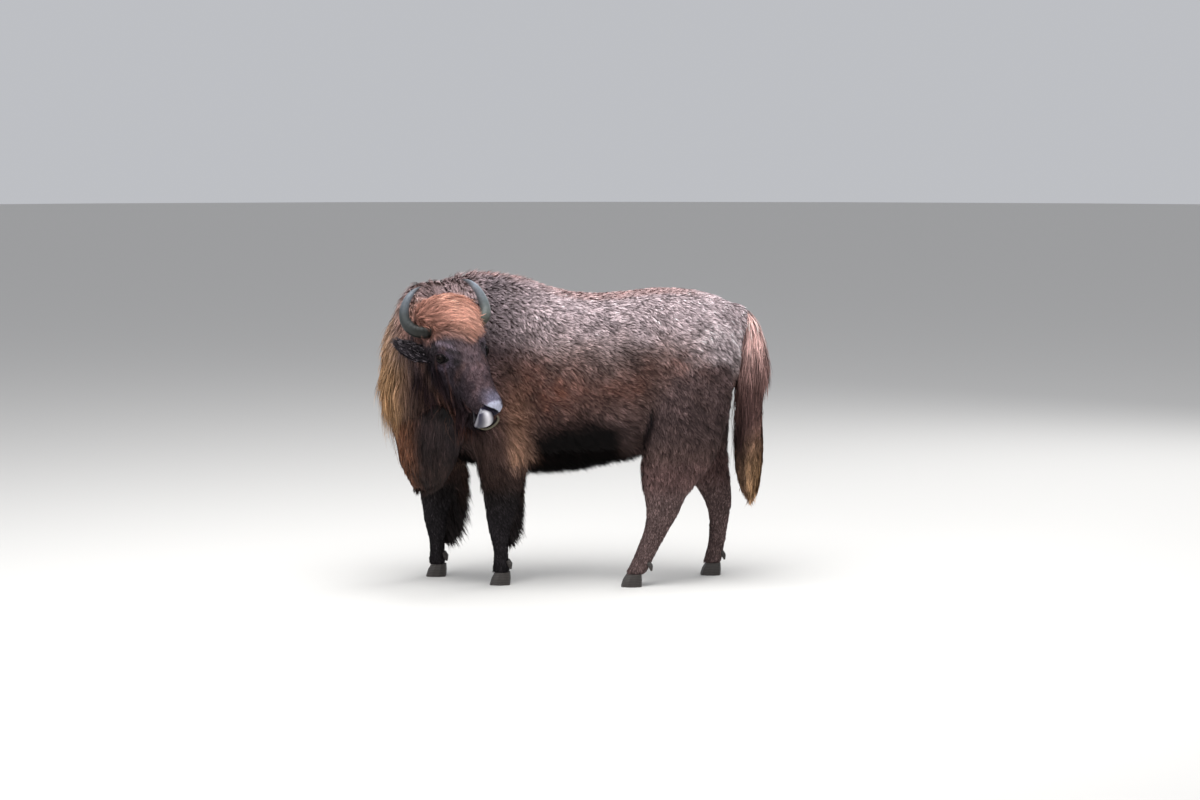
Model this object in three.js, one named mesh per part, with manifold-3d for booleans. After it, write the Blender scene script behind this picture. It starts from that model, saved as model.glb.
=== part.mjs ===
// A European bison cow, life size, standing square on the ground and looking back over its left side.
// Millimetres, +Z up. The trunk faces -X and its left side faces -Y; the floor is Z = 0.
// Every solid reaches out to the tips of the coat.
import * as THREE from "three";
import { mergeVertices } from "three/addons/utils/BufferGeometryUtils.js";
import Module from "manifold-3d";

const wasm = await Module();
wasm.setup();

// Driving sizes.
const GAP = 0.6; // left between neighbouring solids
const HUMP = 1592; // height of the hump at the tips of its coat
const BARREL = 325; // half the trunk's greatest width
const BELLY = 560; // clearance under the belly's coat
const ELBOW = 640; // level at which each limb is parted from its shoulder or thigh
const HEAD_ORIGIN = [-560, -500, 1354]; // midway between the horn bases
const HEAD_LENGTH = 545; // from the horn bases to the lips
const EYE = { n: 169, l: 118, u: -33, radius: 28 }; // in the head's own axes
const CLAW = { length: 108, width: 46, height: 64 };
const FEET = {
  fore_left: [-324, -158],
  fore_right: [-665, 132],
  hind_left: [346, -222],
  hind_right: [762, 176],
};
const HEEL = { fore_left: 0, fore_right: 0, hind_left: 46, hind_right: 16 }; // how far back the dewclaws sit

// The head's own axes: towards the nose, towards the animal's left, and out of the forehead.
const NOSE = new THREE.Vector3(0.4257, -0.5478, -0.7202).normalize();
const LEFT = new THREE.Vector3(0.8554, 0.5032, 0.1228).projectOnPlane(NOSE).normalize();
const BROW = new THREE.Vector3().crossVectors(NOSE, LEFT);
const HEAD = new THREE.Matrix4().makeBasis(NOSE, LEFT, BROW).setPosition(...HEAD_ORIGIN);

const X = new THREE.Vector3(1, 0, 0);
const Y = new THREE.Vector3(0, 1, 0);
const Z = new THREE.Vector3(0, 0, 1);

const finish = (name, color, roughness) =>
  new THREE.MeshStandardMaterial({ name, color, roughness, metalness: 0 });
const MATERIALS = {
  body: finish("body coat", 0x5a4238, 0.9),
  dark: finish("dark coat", 0x2b211e, 0.9),
  mane: finish("mane", 0x4a3226, 0.9),
  tail: finish("tail hair", 0x7a5740, 0.9),
  horn: finish("horn", 0x5c5f58, 0.35),
  hoof: finish("hoof", 0x23201e, 0.5),
  eye: finish("eye", 0x120c08, 0.05),
  tongue: finish("tongue", 0x8d8b99, 0.3),
};

// ---------------------------------------------------------------- shaping

// A closed outline: `wide` to both sides of its widest level, `up` above that level and `down` below it.
// A ridge or keel over 1 sharpens the top or the bottom, and under 1 squares it.
function outline({ wide, up, down, ridge = 1, keel = 1 }, sides, grow) {
  return Array.from({ length: sides }, (_, i) => {
    const turn = (2 * Math.PI * i) / sides;
    const across = Math.cos(turn);
    const rise = Math.sin(turn);
    const power = rise > 0 ? ridge : keel;
    return [
      (wide + grow) * Math.sign(across) * Math.abs(across) ** power,
      rise * ((rise > 0 ? up : down) + grow),
    ];
  });
}

// Stations smoothed into `steps` lengths: every size in them runs on a Catmull-Rom spline.
function between(stations, steps) {
  const last = stations.length - 1;
  const value = (i, key) => stations[Math.min(last, Math.max(0, i))][key];
  return Array.from({ length: steps + 1 }, (_, k) => {
    const place = (k / steps) * last;
    const i = Math.min(last - 1, Math.floor(place));
    const f = place - i;
    const made = {};
    for (const key of Object.keys(stations[0])) {
      const [a, b, c, d] = [i - 1, i, i + 1, i + 2].map((n) => value(n, key));
      made[key] = b + 0.5 * f * (c - a + f * (2 * a - 5 * b + 4 * c - d + f * (3 * (b - c) + d - a)));
    }
    return made;
  });
}

// A closed body through rings of equal count, its ends shut by fans.
function skinOver(rings) {
  const sides = rings[0].length;
  const points = rings.flat();
  const faces = [];
  for (let r = 0; r < rings.length - 1; r++)
    for (let i = 0; i < sides; i++) {
      const j = (i + 1) % sides;
      const [a, b, c, d] = [r * sides + i, r * sides + j, (r + 1) * sides + i, (r + 1) * sides + j];
      faces.push(a, b, d, a, d, c);
    }
  for (const [ring, first, flip] of [
    [rings[0], 0, true],
    [rings.at(-1), (rings.length - 1) * sides, false],
  ]) {
    const hub = points.length;
    points.push(ring.reduce((sum, p) => sum.add(p), new THREE.Vector3()).divideScalar(sides));
    for (let i = 0; i < sides; i++) {
      const edge = [first + i, first + ((i + 1) % sides)];
      faces.push(...(flip ? edge.reverse() : edge), hub);
    }
  }
  return new THREE.BufferGeometry().setFromPoints(points).setIndex(faces);
}

// Rings placed by `frame(station)`, which gives each one's centre, side and up.
function loft(stations, steps, sides, frame, grow = 0) {
  const sizes = between(stations, steps);
  const frames = sizes.map(frame);
  const rings = sizes.map((size, k) => {
    const { centre, side, up } = frames[k];
    const normal = new THREE.Vector3().crossVectors(side, up);
    const travel = frames[Math.min(steps, k + 1)].centre.clone().sub(frames[Math.max(0, k - 1)].centre);
    const end = (k === steps) - (k === 0);
    const middle = centre.clone().addScaledVector(normal, Math.sign(travel.dot(normal)) * end * grow);
    return outline(size, sides, grow).map(([a, b]) =>
      middle.clone().addScaledVector(side, a).addScaledVector(up, b),
    );
  });
  return solid(skinOver(rings));
}

// A three.js geometry as a solid, turned the right way out.
function solid(geometry, matrix = new THREE.Matrix4()) {
  const bare = geometry.clone().applyMatrix4(matrix);
  bare.deleteAttribute("normal");
  bare.deleteAttribute("uv");
  const merged = mergeVertices(bare, 1e-3);
  const build = (triVerts) =>
    new wasm.Manifold(
      new wasm.Mesh({ numProp: 3, vertProperties: merged.attributes.position.array, triVerts }),
    );
  const made = build(new Uint32Array(merged.index.array));
  if (made.volume() > 0) return made;
  return build(new Uint32Array(merged.index.array).reverse());
}

const join = (...solids) => solids.reduce((a, b) => a.add(b));
const cut = (from, ...tools) => tools.reduce((a, b) => a.subtract(b), from);
const flat = (wide, thick) => ({ wide, up: thick, down: thick });
const round = (r) => flat(r, r);

// Rings square to a curve: `shape` gives their sizes, and `side` is the direction they keep closest to.
function along(points, shape, steps, sides, side, grow = 0) {
  const curve = new THREE.CatmullRomCurve3(points, false, "centripetal");
  const frame = ({ t }) => {
    const tangent = curve.getTangent(t);
    const lateral = side.clone().projectOnPlane(tangent).normalize();
    return { centre: curve.getPoint(t), side: lateral, up: new THREE.Vector3().crossVectors(tangent, lateral) };
  };
  return loft(shape.map((s, i) => ({ ...s, t: i / (shape.length - 1) })), steps, sides, frame, grow);
}

// ---------------------------------------------------------------- trunk, neck and mane

const upright = (s) => ({ centre: new THREE.Vector3(s.x, s.y, s.level), side: Y, up: Z });

function trunk(grow = 0) {
  const at = (x, y, top, bottom, level, wide, ridge = 1, keel = 1) => ({
    x, y, level, up: top - level, down: level - bottom, wide, ridge, keel,
  });
  const stations = [
    at(915, 0, HUMP - 285, 1140, 1240, 50),
    at(885, 0, HUMP - 185, 1000, 1230, 140),
    at(800, 0, HUMP - 133, 890, 1205, 212),
    at(692, 0, HUMP - 98, 800, 1180, 250),
    at(560, 0, HUMP - 82, 730, 1130, 265, 0.95),
    at(400, 0, HUMP - 84, BELLY + 100, 1070, 285, 0.95),
    at(250, 0, HUMP - 105, BELLY + 55, 1035, 310, 1, 0.95),
    at(90, 0, HUMP - 106, BELLY + 22, 1005, BARREL, 1.05, 0.95),
    at(-70, 0, HUMP - 79, BELLY + 3, 995, BARREL - 4, 1.12, 0.95),
    at(-230, -5, HUMP - 26, BELLY, 1010, 298, 1.2),
    at(-390, -12, HUMP - 2, BELLY + 25, 1040, 266, 1.25),
    at(-530, -20, HUMP - 4, BELLY + 60, 1070, 238, 1.25),
    at(-640, -30, HUMP - 60, BELLY + 120, 1090, 185, 1.1),
    at(-715, -40, HUMP - 220, BELLY + 240, 1100, 90),
  ];
  return loft(stations, 16, 16, upright, grow);
}

// A station that stands upright across the way it heads; `heading` is in degrees from -X towards -Y.
function across(s) {
  const turn = THREE.MathUtils.degToRad(s.heading);
  const side = new THREE.Vector3(Math.sin(turn), -Math.cos(turn), 0);
  return { centre: new THREE.Vector3(s.x, s.y, s.level), side, up: Z };
}
const standing = (x, y, heading, top, bottom, level, wide, ridge = 1, keel = 1) => ({
  x, y, heading, level, up: top - level, down: level - bottom, wide, ridge, keel,
});

function neck(grow = 0) {
  const stations = [
    standing(-520, -6, 4, HUMP - 14, 690, 1080, 200, 1.25),
    standing(-628, -14, 14, HUMP - 16, 700, 1075, 194, 1.25),
    standing(-712, -60, 42, HUMP - 14, 730, 1065, 190, 1.35),
    standing(-758, -140, 72, HUMP - 22, 780, 1055, 188, 1.5),
    standing(-762, -230, 94, HUMP - 46, 830, 1055, 184, 1.5),
    standing(-732, -312, 110, HUMP - 90, 870, 1070, 176, 1.35),
    standing(-676, -384, 122, HUMP - 140, 905, 1100, 160, 1.15),
    standing(-612, -438, 130, HUMP - 215, 935, 1120, 132, 1),
    standing(-566, -468, 134, HUMP - 330, 965, 1110, 92, 1),
  ];
  return loft(stations, 12, 14, across, grow);
}

// The long hair of the breast, throat and jaw, hanging under the neck.
function mane(grow = 0) {
  const stations = [
    standing(-590, 30, 0, 790, 640, 720, 70),
    standing(-700, 6, 24, 900, 575, 770, 122, 1, 1.2),
    standing(-752, -86, 66, 990, 515, 800, 124, 1, 1.25),
    standing(-752, -190, 92, 1030, 498, 840, 126, 1, 1.25),
    standing(-716, -290, 112, 1050, 500, 860, 128, 1, 1.25),
    standing(-654, -376, 124, 1060, 515, 880, 128, 1, 1.25),
    standing(-588, -440, 134, 1040, 570, 890, 112, 1, 1.25),
    standing(-534, -492, 138, 990, 690, 880, 84, 1, 1.1),
    standing(-500, -528, 140, 940, 800, 870, 34),
  ];
  return loft(stations, 11, 12, across, grow);
}

// ---------------------------------------------------------------- head

const inHead = (n, l, u) => new THREE.Vector3(n, l, u).applyMatrix4(HEAD);
const acrossHead = (s) => ({ centre: inHead(s.n, 0, s.level), side: LEFT, up: BROW });
const headAt = (n, dorsal, ventral, level, wide, ridge = 1, keel = 1) => ({
  n, level, up: dorsal - level, down: level - ventral, wide, ridge, keel,
});

function skull(grow = 0) {
  const stations = [
    headAt(-120, 10, -120, -60, 60),
    headAt(-90, 62, -190, -65, 114, 0.85),
    headAt(-30, 90, -246, -70, 142, 0.85),
    headAt(50, 98, -276, -80, 148, 0.85, 0.9),
    headAt(125, 88, -290, -90, 142, 0.85, 0.8),
    headAt(200, 70, -282, -95, 132, 0.85, 0.8),
    headAt(280, 51, -240, -85, 112, 0.85, 0.8),
    headAt(350, 38, -190, -72, 92, 0.85, 0.85),
    headAt(415, 32, -150, -66, 80, 0.85, 0.8),
    headAt(465, 33, -126, -54, 77, 0.8, 0.75),
    headAt(500, 33, -110, -46, 75, 0.78, 0.75),
    headAt(526, 25, -98, -42, 69, 0.78, 0.8),
    headAt(HEAD_LENGTH, 4, -78, -38, 44, 0.9),
  ];
  return loft(stations, 15, 14, acrossHead, grow);
}

const mass = (n, l, u, long, wide, tall, grow, fine = 10) =>
  solid(
    new THREE.SphereGeometry(1, fine, Math.round(fine * 0.7)),
    HEAD.clone()
      .multiply(new THREE.Matrix4().makeTranslation(n, l, u))
      .multiply(new THREE.Matrix4().makeScale(long + grow, wide + grow, tall + grow)),
  );

// The bony brow over each eye, and the wool that stands on the crown and round the horns.
const faceMasses = (grow = 0) => [
  mass(138, 101, -6, 58, 38, 36, grow, 8),
  mass(138, -101, -6, 58, 38, 36, grow, 8),
  mass(-52, -6, -22, 106, 170, 114, grow, 12),
];

function jaw(grow = 0) {
  const stations = [
    headAt(110, -170, -318, -235, 70),
    headAt(210, -170, -312, -230, 80),
    headAt(310, -155, -280, -215, 72),
    headAt(390, -152, -250, -202, 62),
    headAt(450, -148, -226, -188, 62, 0.85),
    headAt(500, -142, -204, -172, 70, 0.8, 0.85),
    headAt(538, -140, -184, -162, 52, 0.85),
  ];
  return loft(stations, 9, 12, acrossHead, grow);
}

function horn(s, grow = 0) {
  const path = [
    [12, 96, -14], [4, 158, -14], [-20, 203, -11], [-64, 224, 2],
    [-110, 219, 28], [-148, 194, 62], [-172, 156, 90], [-182, 116, 108],
  ].map(([n, l, u]) => inHead(n, s * l, u));
  const radii = [32, 31, 29.5, 27, 23, 18, 11.5, 3].map(round);
  return along(path, radii, 12, 8, BROW, grow);
}

// A leaf on a stalk. The right ear is held out and up, and the left one lies back along the neck.
const EARS = {
  right: [[104, 104, -84], [86, 146, -100], [50, 192, -108], [8, 234, -108], [-38, 266, -102]],
  left: [[70, 108, -96], [56, 134, -136], [34, 148, -180], [12, 152, -222], [-6, 152, -256]],
};
function ear(s, grow = 0) {
  const line = EARS[s > 0 ? "left" : "right"].map(([n, l, u]) => inHead(n, s * l, u));
  const leaf = [flat(28, 24), flat(42, 26), flat(50, 24), flat(44, 18), flat(16, 8)];
  return along(line, leaf, 8, 9, NOSE, grow);
}

const eye = (s, grow = 0) =>
  mass(EYE.n, s * EYE.l, EYE.u, EYE.radius, EYE.radius, EYE.radius, grow, 10);

// Out of the mouth and up over the lip to the right nostril.
function tongue(grow = 0) {
  const path = [
    [400, -10, -128], [470, -20, -130], [522, -34, -130], [550, -40, -120],
    [557, -43, -92], [548, -47, -52], [530, -52, -12],
  ].map(([n, l, u]) => inHead(n, l, u));
  const strap = [28, 34, 42, 47, 48, 44, 32].map((wide) => flat(wide, 10.5));
  return along(path, strap, 10, 8, LEFT, grow);
}

// ---------------------------------------------------------------- limbs and tail

const level = (s) => ({ centre: new THREE.Vector3(s.x, s.y, s.z), side: Y, up: X });

// A level section of a limb from its front edge to its back edge.
const limbAt = (z, front, back, y, wide, fore = 1, aft = 1) => ({
  z, y, wide, x: (front + back) / 2, up: (back - front) / 2, down: (back - front) / 2, ridge: aft, keel: fore,
});

// From the shoulder blade to the fetlock. The shoulder lies `blade` ahead of the foot.
function foreleg([x, y], blade, s, grow = 0) {
  const stations = [
    limbAt(1380, x - blade + 40, x - blade + 170, s * 95, 40),
    limbAt(1240, x - blade - 60, x - blade + 180, s * 140, 66),
    limbAt(1080, x - blade - 145, x - blade + 190, s * 212, 98),
    limbAt(930, x - blade - 130, x - blade + 205, s * 222, 94),
    limbAt(780, x - 150 - blade / 2, x + 165 - blade / 3, (y + s * 210) / 2, 84),
    limbAt(650, x - 112, x + 126, y + s * 22, 72),
    limbAt(540, x - 100, x + 112, y + s * 14, 66),
    limbAt(430, x - 88, x + 84, y + s * 8, 58),
    limbAt(340, x - 80, x + 62, y + s * 4, 53),
    limbAt(280, x - 72, x + 50, y, 49),
    limbAt(200, x - 48, x + 43, y, 41),
    limbAt(130, x - 43, x + 43, y, 41),
    limbAt(95, x - 48, x + 50, y, 47),
    limbAt(CLAW.height - 8, x - 50, x + 42, y, 45),
  ];
  return loft(stations, 14, 10, level, grow);
}

// The long hair behind the forearm.
function fringe([x, y], reach, s, grow = 0) {
  const stations = [
    limbAt(700, x, x + 100, y + s * 26, 34),
    limbAt(560, x, x + reach - 4, y + s * 16, 34, 1, 1.3),
    limbAt(430, x, x + reach, y + s * 8, 30, 1, 1.4),
    limbAt(320, x, x + reach - 6, y + s * 4, 24, 1, 1.4),
    limbAt(235, x, x + reach - 48, y, 16),
    limbAt(195, x, x + reach - 86, y, 9),
    limbAt(176, x, x + 46, y, 5),
  ];
  return loft(stations, 6, 7, level, grow);
}

// Each hind limb's own line from the rump to the fetlock: height, front edge and back edge.
const HIND_LEFT = [
  [1410, 560, 730], [1270, 480, 830], [1090, 440, 862], [950, 408, 862], [830, 390, 835],
  [705, 384, 795], [600, 386, 735], [500, 388, 640], [400, 410, 606], [305, 402, 548],
  [210, 368, 496], [125, 334, 452], [84, 314, 430], [CLAW.height - 8, 300, 400],
];
const HIND_RIGHT = [
  [1410, 590, 750], [1270, 530, 860], [1090, 510, 880], [950, 520, 872], [830, 535, 862],
  [705, 555, 852], [600, 590, 846], [500, 650, 858], [410, 705, 876], [330, 738, 862],
  [225, 744, 845], [125, 728, 828], [90, 718, 822], [CLAW.height - 8, 714, 806],
];

function hindleg(line, y, s, grow = 0) {
  const hip = [90, 120, 180, 196, 200, 196, 188, 176, 168, 162, 158, 156, 156, 156];
  const wide = [40, 62, 98, 102, 96, 86, 76, 62, 54, 46, 43, 43, 47, 44];
  const stations = line.map(([z, front, back], i) => {
    const down = i / (line.length - 1);
    return limbAt(z, front, back, s * hip[i] * (1 - down) + (y + s * (hip[i] - hip.at(-1))) * down, wide[i]);
  });
  return loft(stations, 14, 10, level, grow);
}

// One half of a cloven hoof, flat underneath and sloping back to the coronet.
function claw([x, y], s, grow = 0) {
  const { length, width, height } = CLAW;
  const at = (z, front, back, wide) => limbAt(z, x + front, x + back, y + s * (width / 2 + 1.5), wide, 0.85);
  const stations = [
    at(0, -length / 2 - 6, length / 2 - 8, width / 2),
    at(height * 0.5, -length / 2 + 4, length / 2 - 6, width / 2),
    at(height, -length / 2 + 24, length / 2 - 8, width / 2 - 3),
  ];
  return loft(stations, 2, 9, level, grow);
}

function dewclaw([x, y], heel, s, grow = 0) {
  const path = [[34, 17, 124], [46, 23, 102], [50, 25, 82]].map(
    ([back, out, z]) => new THREE.Vector3(x + heel + back, y + s * out, z),
  );
  return along(path, [round(11), round(13), round(5)], 2, 6, Y, grow);
}

const TAIL_ROOT = [
  [800, 0, 1385], [868, 0, 1392], [922, 0, 1350], [948, 0, 1270], [958, 0, 1160], [960, 0, 1040],
].map((p) => new THREE.Vector3(...p));
const tailDock = (grow = 0) => along(TAIL_ROOT, [40, 40, 36, 30, 24, 16].map(round), 9, 8, Y, grow);

function tailHair(grow = 0) {
  const stations = [
    limbAt(1392, 905, 950, 0, 26),
    limbAt(1300, 895, 1000, 0, 46),
    limbAt(1180, 896, 1030, 0, 56),
    limbAt(1040, 886, 1040, 2, 62),
    limbAt(900, 876, 1032, 4, 64),
    limbAt(760, 872, 1022, 6, 62),
    limbAt(620, 876, 1010, 8, 54),
    limbAt(500, 896, 1000, 8, 42),
    limbAt(425, 934, 972, 8, 14),
  ];
  return loft(stations, 9, 8, level, grow);
}

// ---------------------------------------------------------------- assembly

const wisent = new THREE.Group();

// Only the largest connected piece is kept, so no sliver of a cut is left.
function add(name, made, material) {
  const [body] = made.decompose().sort((a, b) => b.volume() - a.volume());
  const { vertProperties, triVerts } = body.getMesh();
  const geometry = new THREE.BufferGeometry()
    .setAttribute("position", new THREE.BufferAttribute(new Float32Array(vertProperties), 3))
    .setIndex(new THREE.BufferAttribute(new Uint32Array(triVerts), 1));
  const mesh = new THREE.Mesh(geometry, material);
  mesh.name = name;
  wisent.add(mesh);
}

const SIDES = [["left", 1], ["right", -1]];
const LEGS = {
  fore_left: (g) => join(foreleg(FEET.fore_left, 120, -1, g), fringe(FEET.fore_left, 124, -1, g)),
  fore_right: (g) => join(foreleg(FEET.fore_right, -105, 1, g), fringe(FEET.fore_right, 176, 1, g)),
  hind_left: (g) => hindleg(HIND_LEFT, FEET.hind_left[1], -1, g),
  hind_right: (g) => hindleg(HIND_RIGHT, FEET.hind_right[1], 1, g),
};
const above = (of, z) => of.trimByPlane([0, 0, 1], z + GAP / 2);
const below = (of, z) => of.trimByPlane([0, 0, -1], GAP / 2 - z);
const bothSides = (make) => SIDES.map(([, s]) => make(s, GAP));

const wholeHead = (grow = 0) => join(skull(grow), ...faceMasses(grow));
const headBlock = [wholeHead(GAP), jaw(GAP), ...bothSides(horn), ...bothSides(ear)];
const legBlocks = Object.values(LEGS).map((leg) => leg(GAP));

for (const [name, s] of SIDES) {
  add(`horn_${name}`, horn(s), MATERIALS.horn);
  add(`ear_${name}`, cut(ear(s), horn(s, GAP), wholeHead(GAP)), MATERIALS.dark);
  add(`eye_${name}`, eye(s), MATERIALS.eye);
}
add("tongue", tongue(), MATERIALS.tongue);
add("head", cut(wholeHead(), ...bothSides(horn), ...bothSides(eye), tongue(GAP)), MATERIALS.dark);
add("jaw", cut(jaw(), wholeHead(GAP), tongue(GAP)), MATERIALS.dark);
add("neck", cut(neck(), ...headBlock, ...legBlocks), MATERIALS.body);
add("mane", cut(mane(), ...headBlock, ...legBlocks, neck(GAP), trunk(GAP)), MATERIALS.mane);
add("trunk", cut(trunk(), ...legBlocks, neck(GAP), tailDock(GAP), ...bothSides(ear)), MATERIALS.body);
add("tail_dock", tailDock(), MATERIALS.body);
add("tail_hair", cut(tailHair(), tailDock(GAP), trunk(GAP), ...legBlocks), MATERIALS.tail);

for (const [name, leg] of Object.entries(LEGS)) {
  const foot = FEET[name];
  const heel = HEEL[name];
  const limb = cut(leg(0), ...[-1, 1].flatMap((s) => [claw(foot, s, GAP), dewclaw(foot, heel, s, GAP)]));
  add(`${name}_upper`, above(limb, ELBOW), MATERIALS.body);
  add(`${name}_lower`, below(limb, ELBOW), MATERIALS.dark);
  for (const [place, outward] of [["inner", -1], ["outer", 1]]) {
    const s = name.endsWith("left") ? -outward : outward;
    add(`${name}_hoof_${place}`, claw(foot, s), MATERIALS.hoof);
    add(`${name}_dewclaw_${place}`, dewclaw(foot, heel, s), MATERIALS.hoof);
  }
}

// The origin is on the floor, midway along and across the whole animal.
wisent.updateMatrixWorld(true);
const box = new THREE.Box3().setFromObject(wisent);
const middle = box.getCenter(new THREE.Vector3());
wisent.position.set(-middle.x, -middle.y, -box.min.z);

export default wisent;
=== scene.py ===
# %% [markdown]
# # A wisent, life size
# The wisent, or European bison, is a tall, front-heavy animal in a shaggy brown coat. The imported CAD
# model gives its true size and pose as plain solids that reach out to the tips of the hair. This lesson
# puts one skin inside those solids and grows a coat of real mesh tufts back out to them.

import bmesh
import bpy
import numpy as np
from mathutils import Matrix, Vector
from mathutils.bvhtree import BVHTree


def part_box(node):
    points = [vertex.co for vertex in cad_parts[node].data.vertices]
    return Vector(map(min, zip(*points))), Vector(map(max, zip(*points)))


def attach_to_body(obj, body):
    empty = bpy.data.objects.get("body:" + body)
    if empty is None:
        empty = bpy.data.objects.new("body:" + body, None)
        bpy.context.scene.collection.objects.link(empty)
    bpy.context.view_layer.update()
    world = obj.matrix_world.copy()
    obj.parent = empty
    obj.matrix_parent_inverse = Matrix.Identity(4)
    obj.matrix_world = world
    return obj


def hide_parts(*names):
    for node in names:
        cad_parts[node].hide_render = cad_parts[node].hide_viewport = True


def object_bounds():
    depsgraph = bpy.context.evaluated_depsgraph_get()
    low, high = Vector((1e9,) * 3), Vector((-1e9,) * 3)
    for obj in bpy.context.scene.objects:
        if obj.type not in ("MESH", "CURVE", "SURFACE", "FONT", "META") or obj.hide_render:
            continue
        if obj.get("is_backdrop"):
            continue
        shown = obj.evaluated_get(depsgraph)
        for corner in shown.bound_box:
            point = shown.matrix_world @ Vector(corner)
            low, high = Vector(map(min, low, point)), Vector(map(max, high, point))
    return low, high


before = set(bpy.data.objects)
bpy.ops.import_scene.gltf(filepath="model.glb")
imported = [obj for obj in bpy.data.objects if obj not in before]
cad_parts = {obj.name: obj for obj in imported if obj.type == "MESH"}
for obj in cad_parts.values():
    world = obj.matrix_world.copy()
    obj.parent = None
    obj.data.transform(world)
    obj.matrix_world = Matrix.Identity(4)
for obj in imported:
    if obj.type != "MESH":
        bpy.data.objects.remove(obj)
CAD_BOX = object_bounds()
for thing in bpy.context.selected_objects:
    thing.select_set(False)
print("CAD box", [tuple(round(v, 3) for v in corner) for corner in CAD_BOX])

# %% [markdown]
# ## Studio: camera, floor and light
# A long lens from sixteen metres away keeps the proportions of the body calm. The floor is a plain pale
# disc that runs out to the horizon, and broad area lights stand in for an overcast sky.

# %% Camera
MIDDLE = (Vector(CAD_BOX[0]) + Vector(CAD_BOX[1])) / 2
LOOK_AT = MIDDLE + Vector((0.1346, 0.2491, 0.133))
CAMERA_DISTANCE = 16.0
CAMERA_RISE = np.radians(5.5)
FOCAL_LENGTH, SENSOR_WIDTH = 93.6, 36  # millimetres


def aim(thing, place, target):
    thing.location = place
    thing.rotation_euler = (Vector(target) - Vector(place)).to_track_quat("-Z", "Y").to_euler()


lens = bpy.data.cameras.new("camera")
lens.lens = FOCAL_LENGTH
lens.sensor_width = SENSOR_WIDTH
lens.clip_end = 200
camera = bpy.data.objects.new("camera", lens)
bpy.context.scene.collection.objects.link(camera)
back_off = Vector((0, -np.cos(CAMERA_RISE), np.sin(CAMERA_RISE))) * CAMERA_DISTANCE
aim(camera, LOOK_AT + back_off, LOOK_AT)
bpy.context.scene.camera = camera
bpy.context.scene.view_settings.view_transform = "Standard"
print("camera at", tuple(round(v, 2) for v in camera.location))

# %% Floor
def make_mesh(name, points, faces, smooth=True):
    """A new linked object from an (n, 3) array of points and an (m, 3 or 4) array of faces."""
    mesh = bpy.data.meshes.new(name)
    corners = faces.shape[1]
    mesh.vertices.add(len(points))
    mesh.vertices.foreach_set("co", np.ascontiguousarray(points, np.float32).ravel())
    mesh.loops.add(faces.size)
    mesh.loops.foreach_set("vertex_index", np.ascontiguousarray(faces, np.int32).ravel())
    mesh.polygons.add(len(faces))
    mesh.polygons.foreach_set("loop_start", np.arange(0, faces.size, corners, dtype=np.int32))
    mesh.polygons.foreach_set("use_smooth", np.full(len(faces), smooth))
    mesh.update(calc_edges=True)
    thing = bpy.data.objects.new(name, mesh)
    bpy.context.scene.collection.objects.link(thing)
    return thing


def new_material(name, looks):
    """A material with nodes, its tree and its shader; `looks` sets inputs of the shader by their names."""
    material = bpy.data.materials.new(name)
    material.use_nodes = True
    shader = material.node_tree.nodes["Principled BSDF"]
    for label, value in looks.items():
        shader.inputs[label].default_value = value
    return material, material.node_tree, shader


FLOOR_RADIUS, FLOOR_SIDES = 60.0, 64
turn = np.linspace(0, 2 * np.pi, FLOOR_SIDES, endpoint=False)
rim = np.stack([np.cos(turn) * FLOOR_RADIUS, np.sin(turn) * FLOOR_RADIUS, 0 * turn], 1)
fan = np.array([(FLOOR_SIDES, i, (i + 1) % FLOOR_SIDES) for i in range(FLOOR_SIDES)])
floor = make_mesh("floor", np.vstack([rim, [[0, 0, 0]]]), fan)
pale, _, _ = new_material("pale_floor", {"Base Color": (0.62, 0.61, 0.59, 1), "Roughness": 0.9})
floor.data.materials.append(pale)
floor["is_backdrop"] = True
print("floor", FLOOR_RADIUS, "m in radius")

# %% Lights
for name, place, size, watts in [
    ("sky", (-0.5, -2.0, 7.5), 8.0, 900),
    ("front", (-5.5, -9.0, 4.5), 5.0, 260),
    ("rim", (5.0, 6.0, 5.0), 5.0, 220),
]:
    light = bpy.data.lights.new(name, "AREA")
    light.shape, light.size, light.energy = "DISK", size, watts
    lamp = bpy.data.objects.new(name, light)
    bpy.context.scene.collection.objects.link(lamp)
    aim(lamp, place, MIDDLE)

world = bpy.data.worlds.new("studio")
bpy.context.scene.world = world
world.use_nodes = True
sky = world.node_tree.nodes["Background"]
sky.inputs["Color"].default_value = (0.93, 0.95, 1.0, 1)
sky.inputs["Strength"].default_value = 0.55
print(len(bpy.data.lights), "lights and a pale sky")

# %% [markdown]
# ## The skin
# Under the hair the animal is one smooth surface. The flesh nodes of the CAD model are swollen by a hair's
# breadth so that they run together, remeshed as one, and drawn in by the depth of the coat, which is deep
# on the neck and hump and thin on the face and shanks. A second remesh heals what the move has folded.

# %% Points and triangles of the CAD flesh
LEGS = ("fore_left", "fore_right", "hind_left", "hind_right")
FLESH = ["trunk", "neck", "head", "jaw", "ear_left", "ear_right", "tail_dock"]
FLESH += [f"{leg}_{part}" for leg in LEGS for part in ("upper", "lower")]
PLACE = {name: i for i, name in enumerate(FLESH)}


def cad_arrays(name):
    """Welded points and triangles of a CAD node."""
    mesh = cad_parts[name].data
    points = np.empty(len(mesh.vertices) * 3, np.float32)
    mesh.vertices.foreach_get("co", points)
    mesh.calc_loop_triangles()
    tris = np.empty(len(mesh.loop_triangles) * 3, np.int32)
    mesh.loop_triangles.foreach_get("vertices", tris)
    points, back = np.unique(np.round(points.reshape(-1, 3), 5), axis=0, return_inverse=True)
    tris = back.ravel()[tris.reshape(-1, 3)]
    whole = (tris[:, 0] != tris[:, 1]) & (tris[:, 1] != tris[:, 2]) & (tris[:, 0] != tris[:, 2])
    return points.astype(float), tris[whole]


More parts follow.
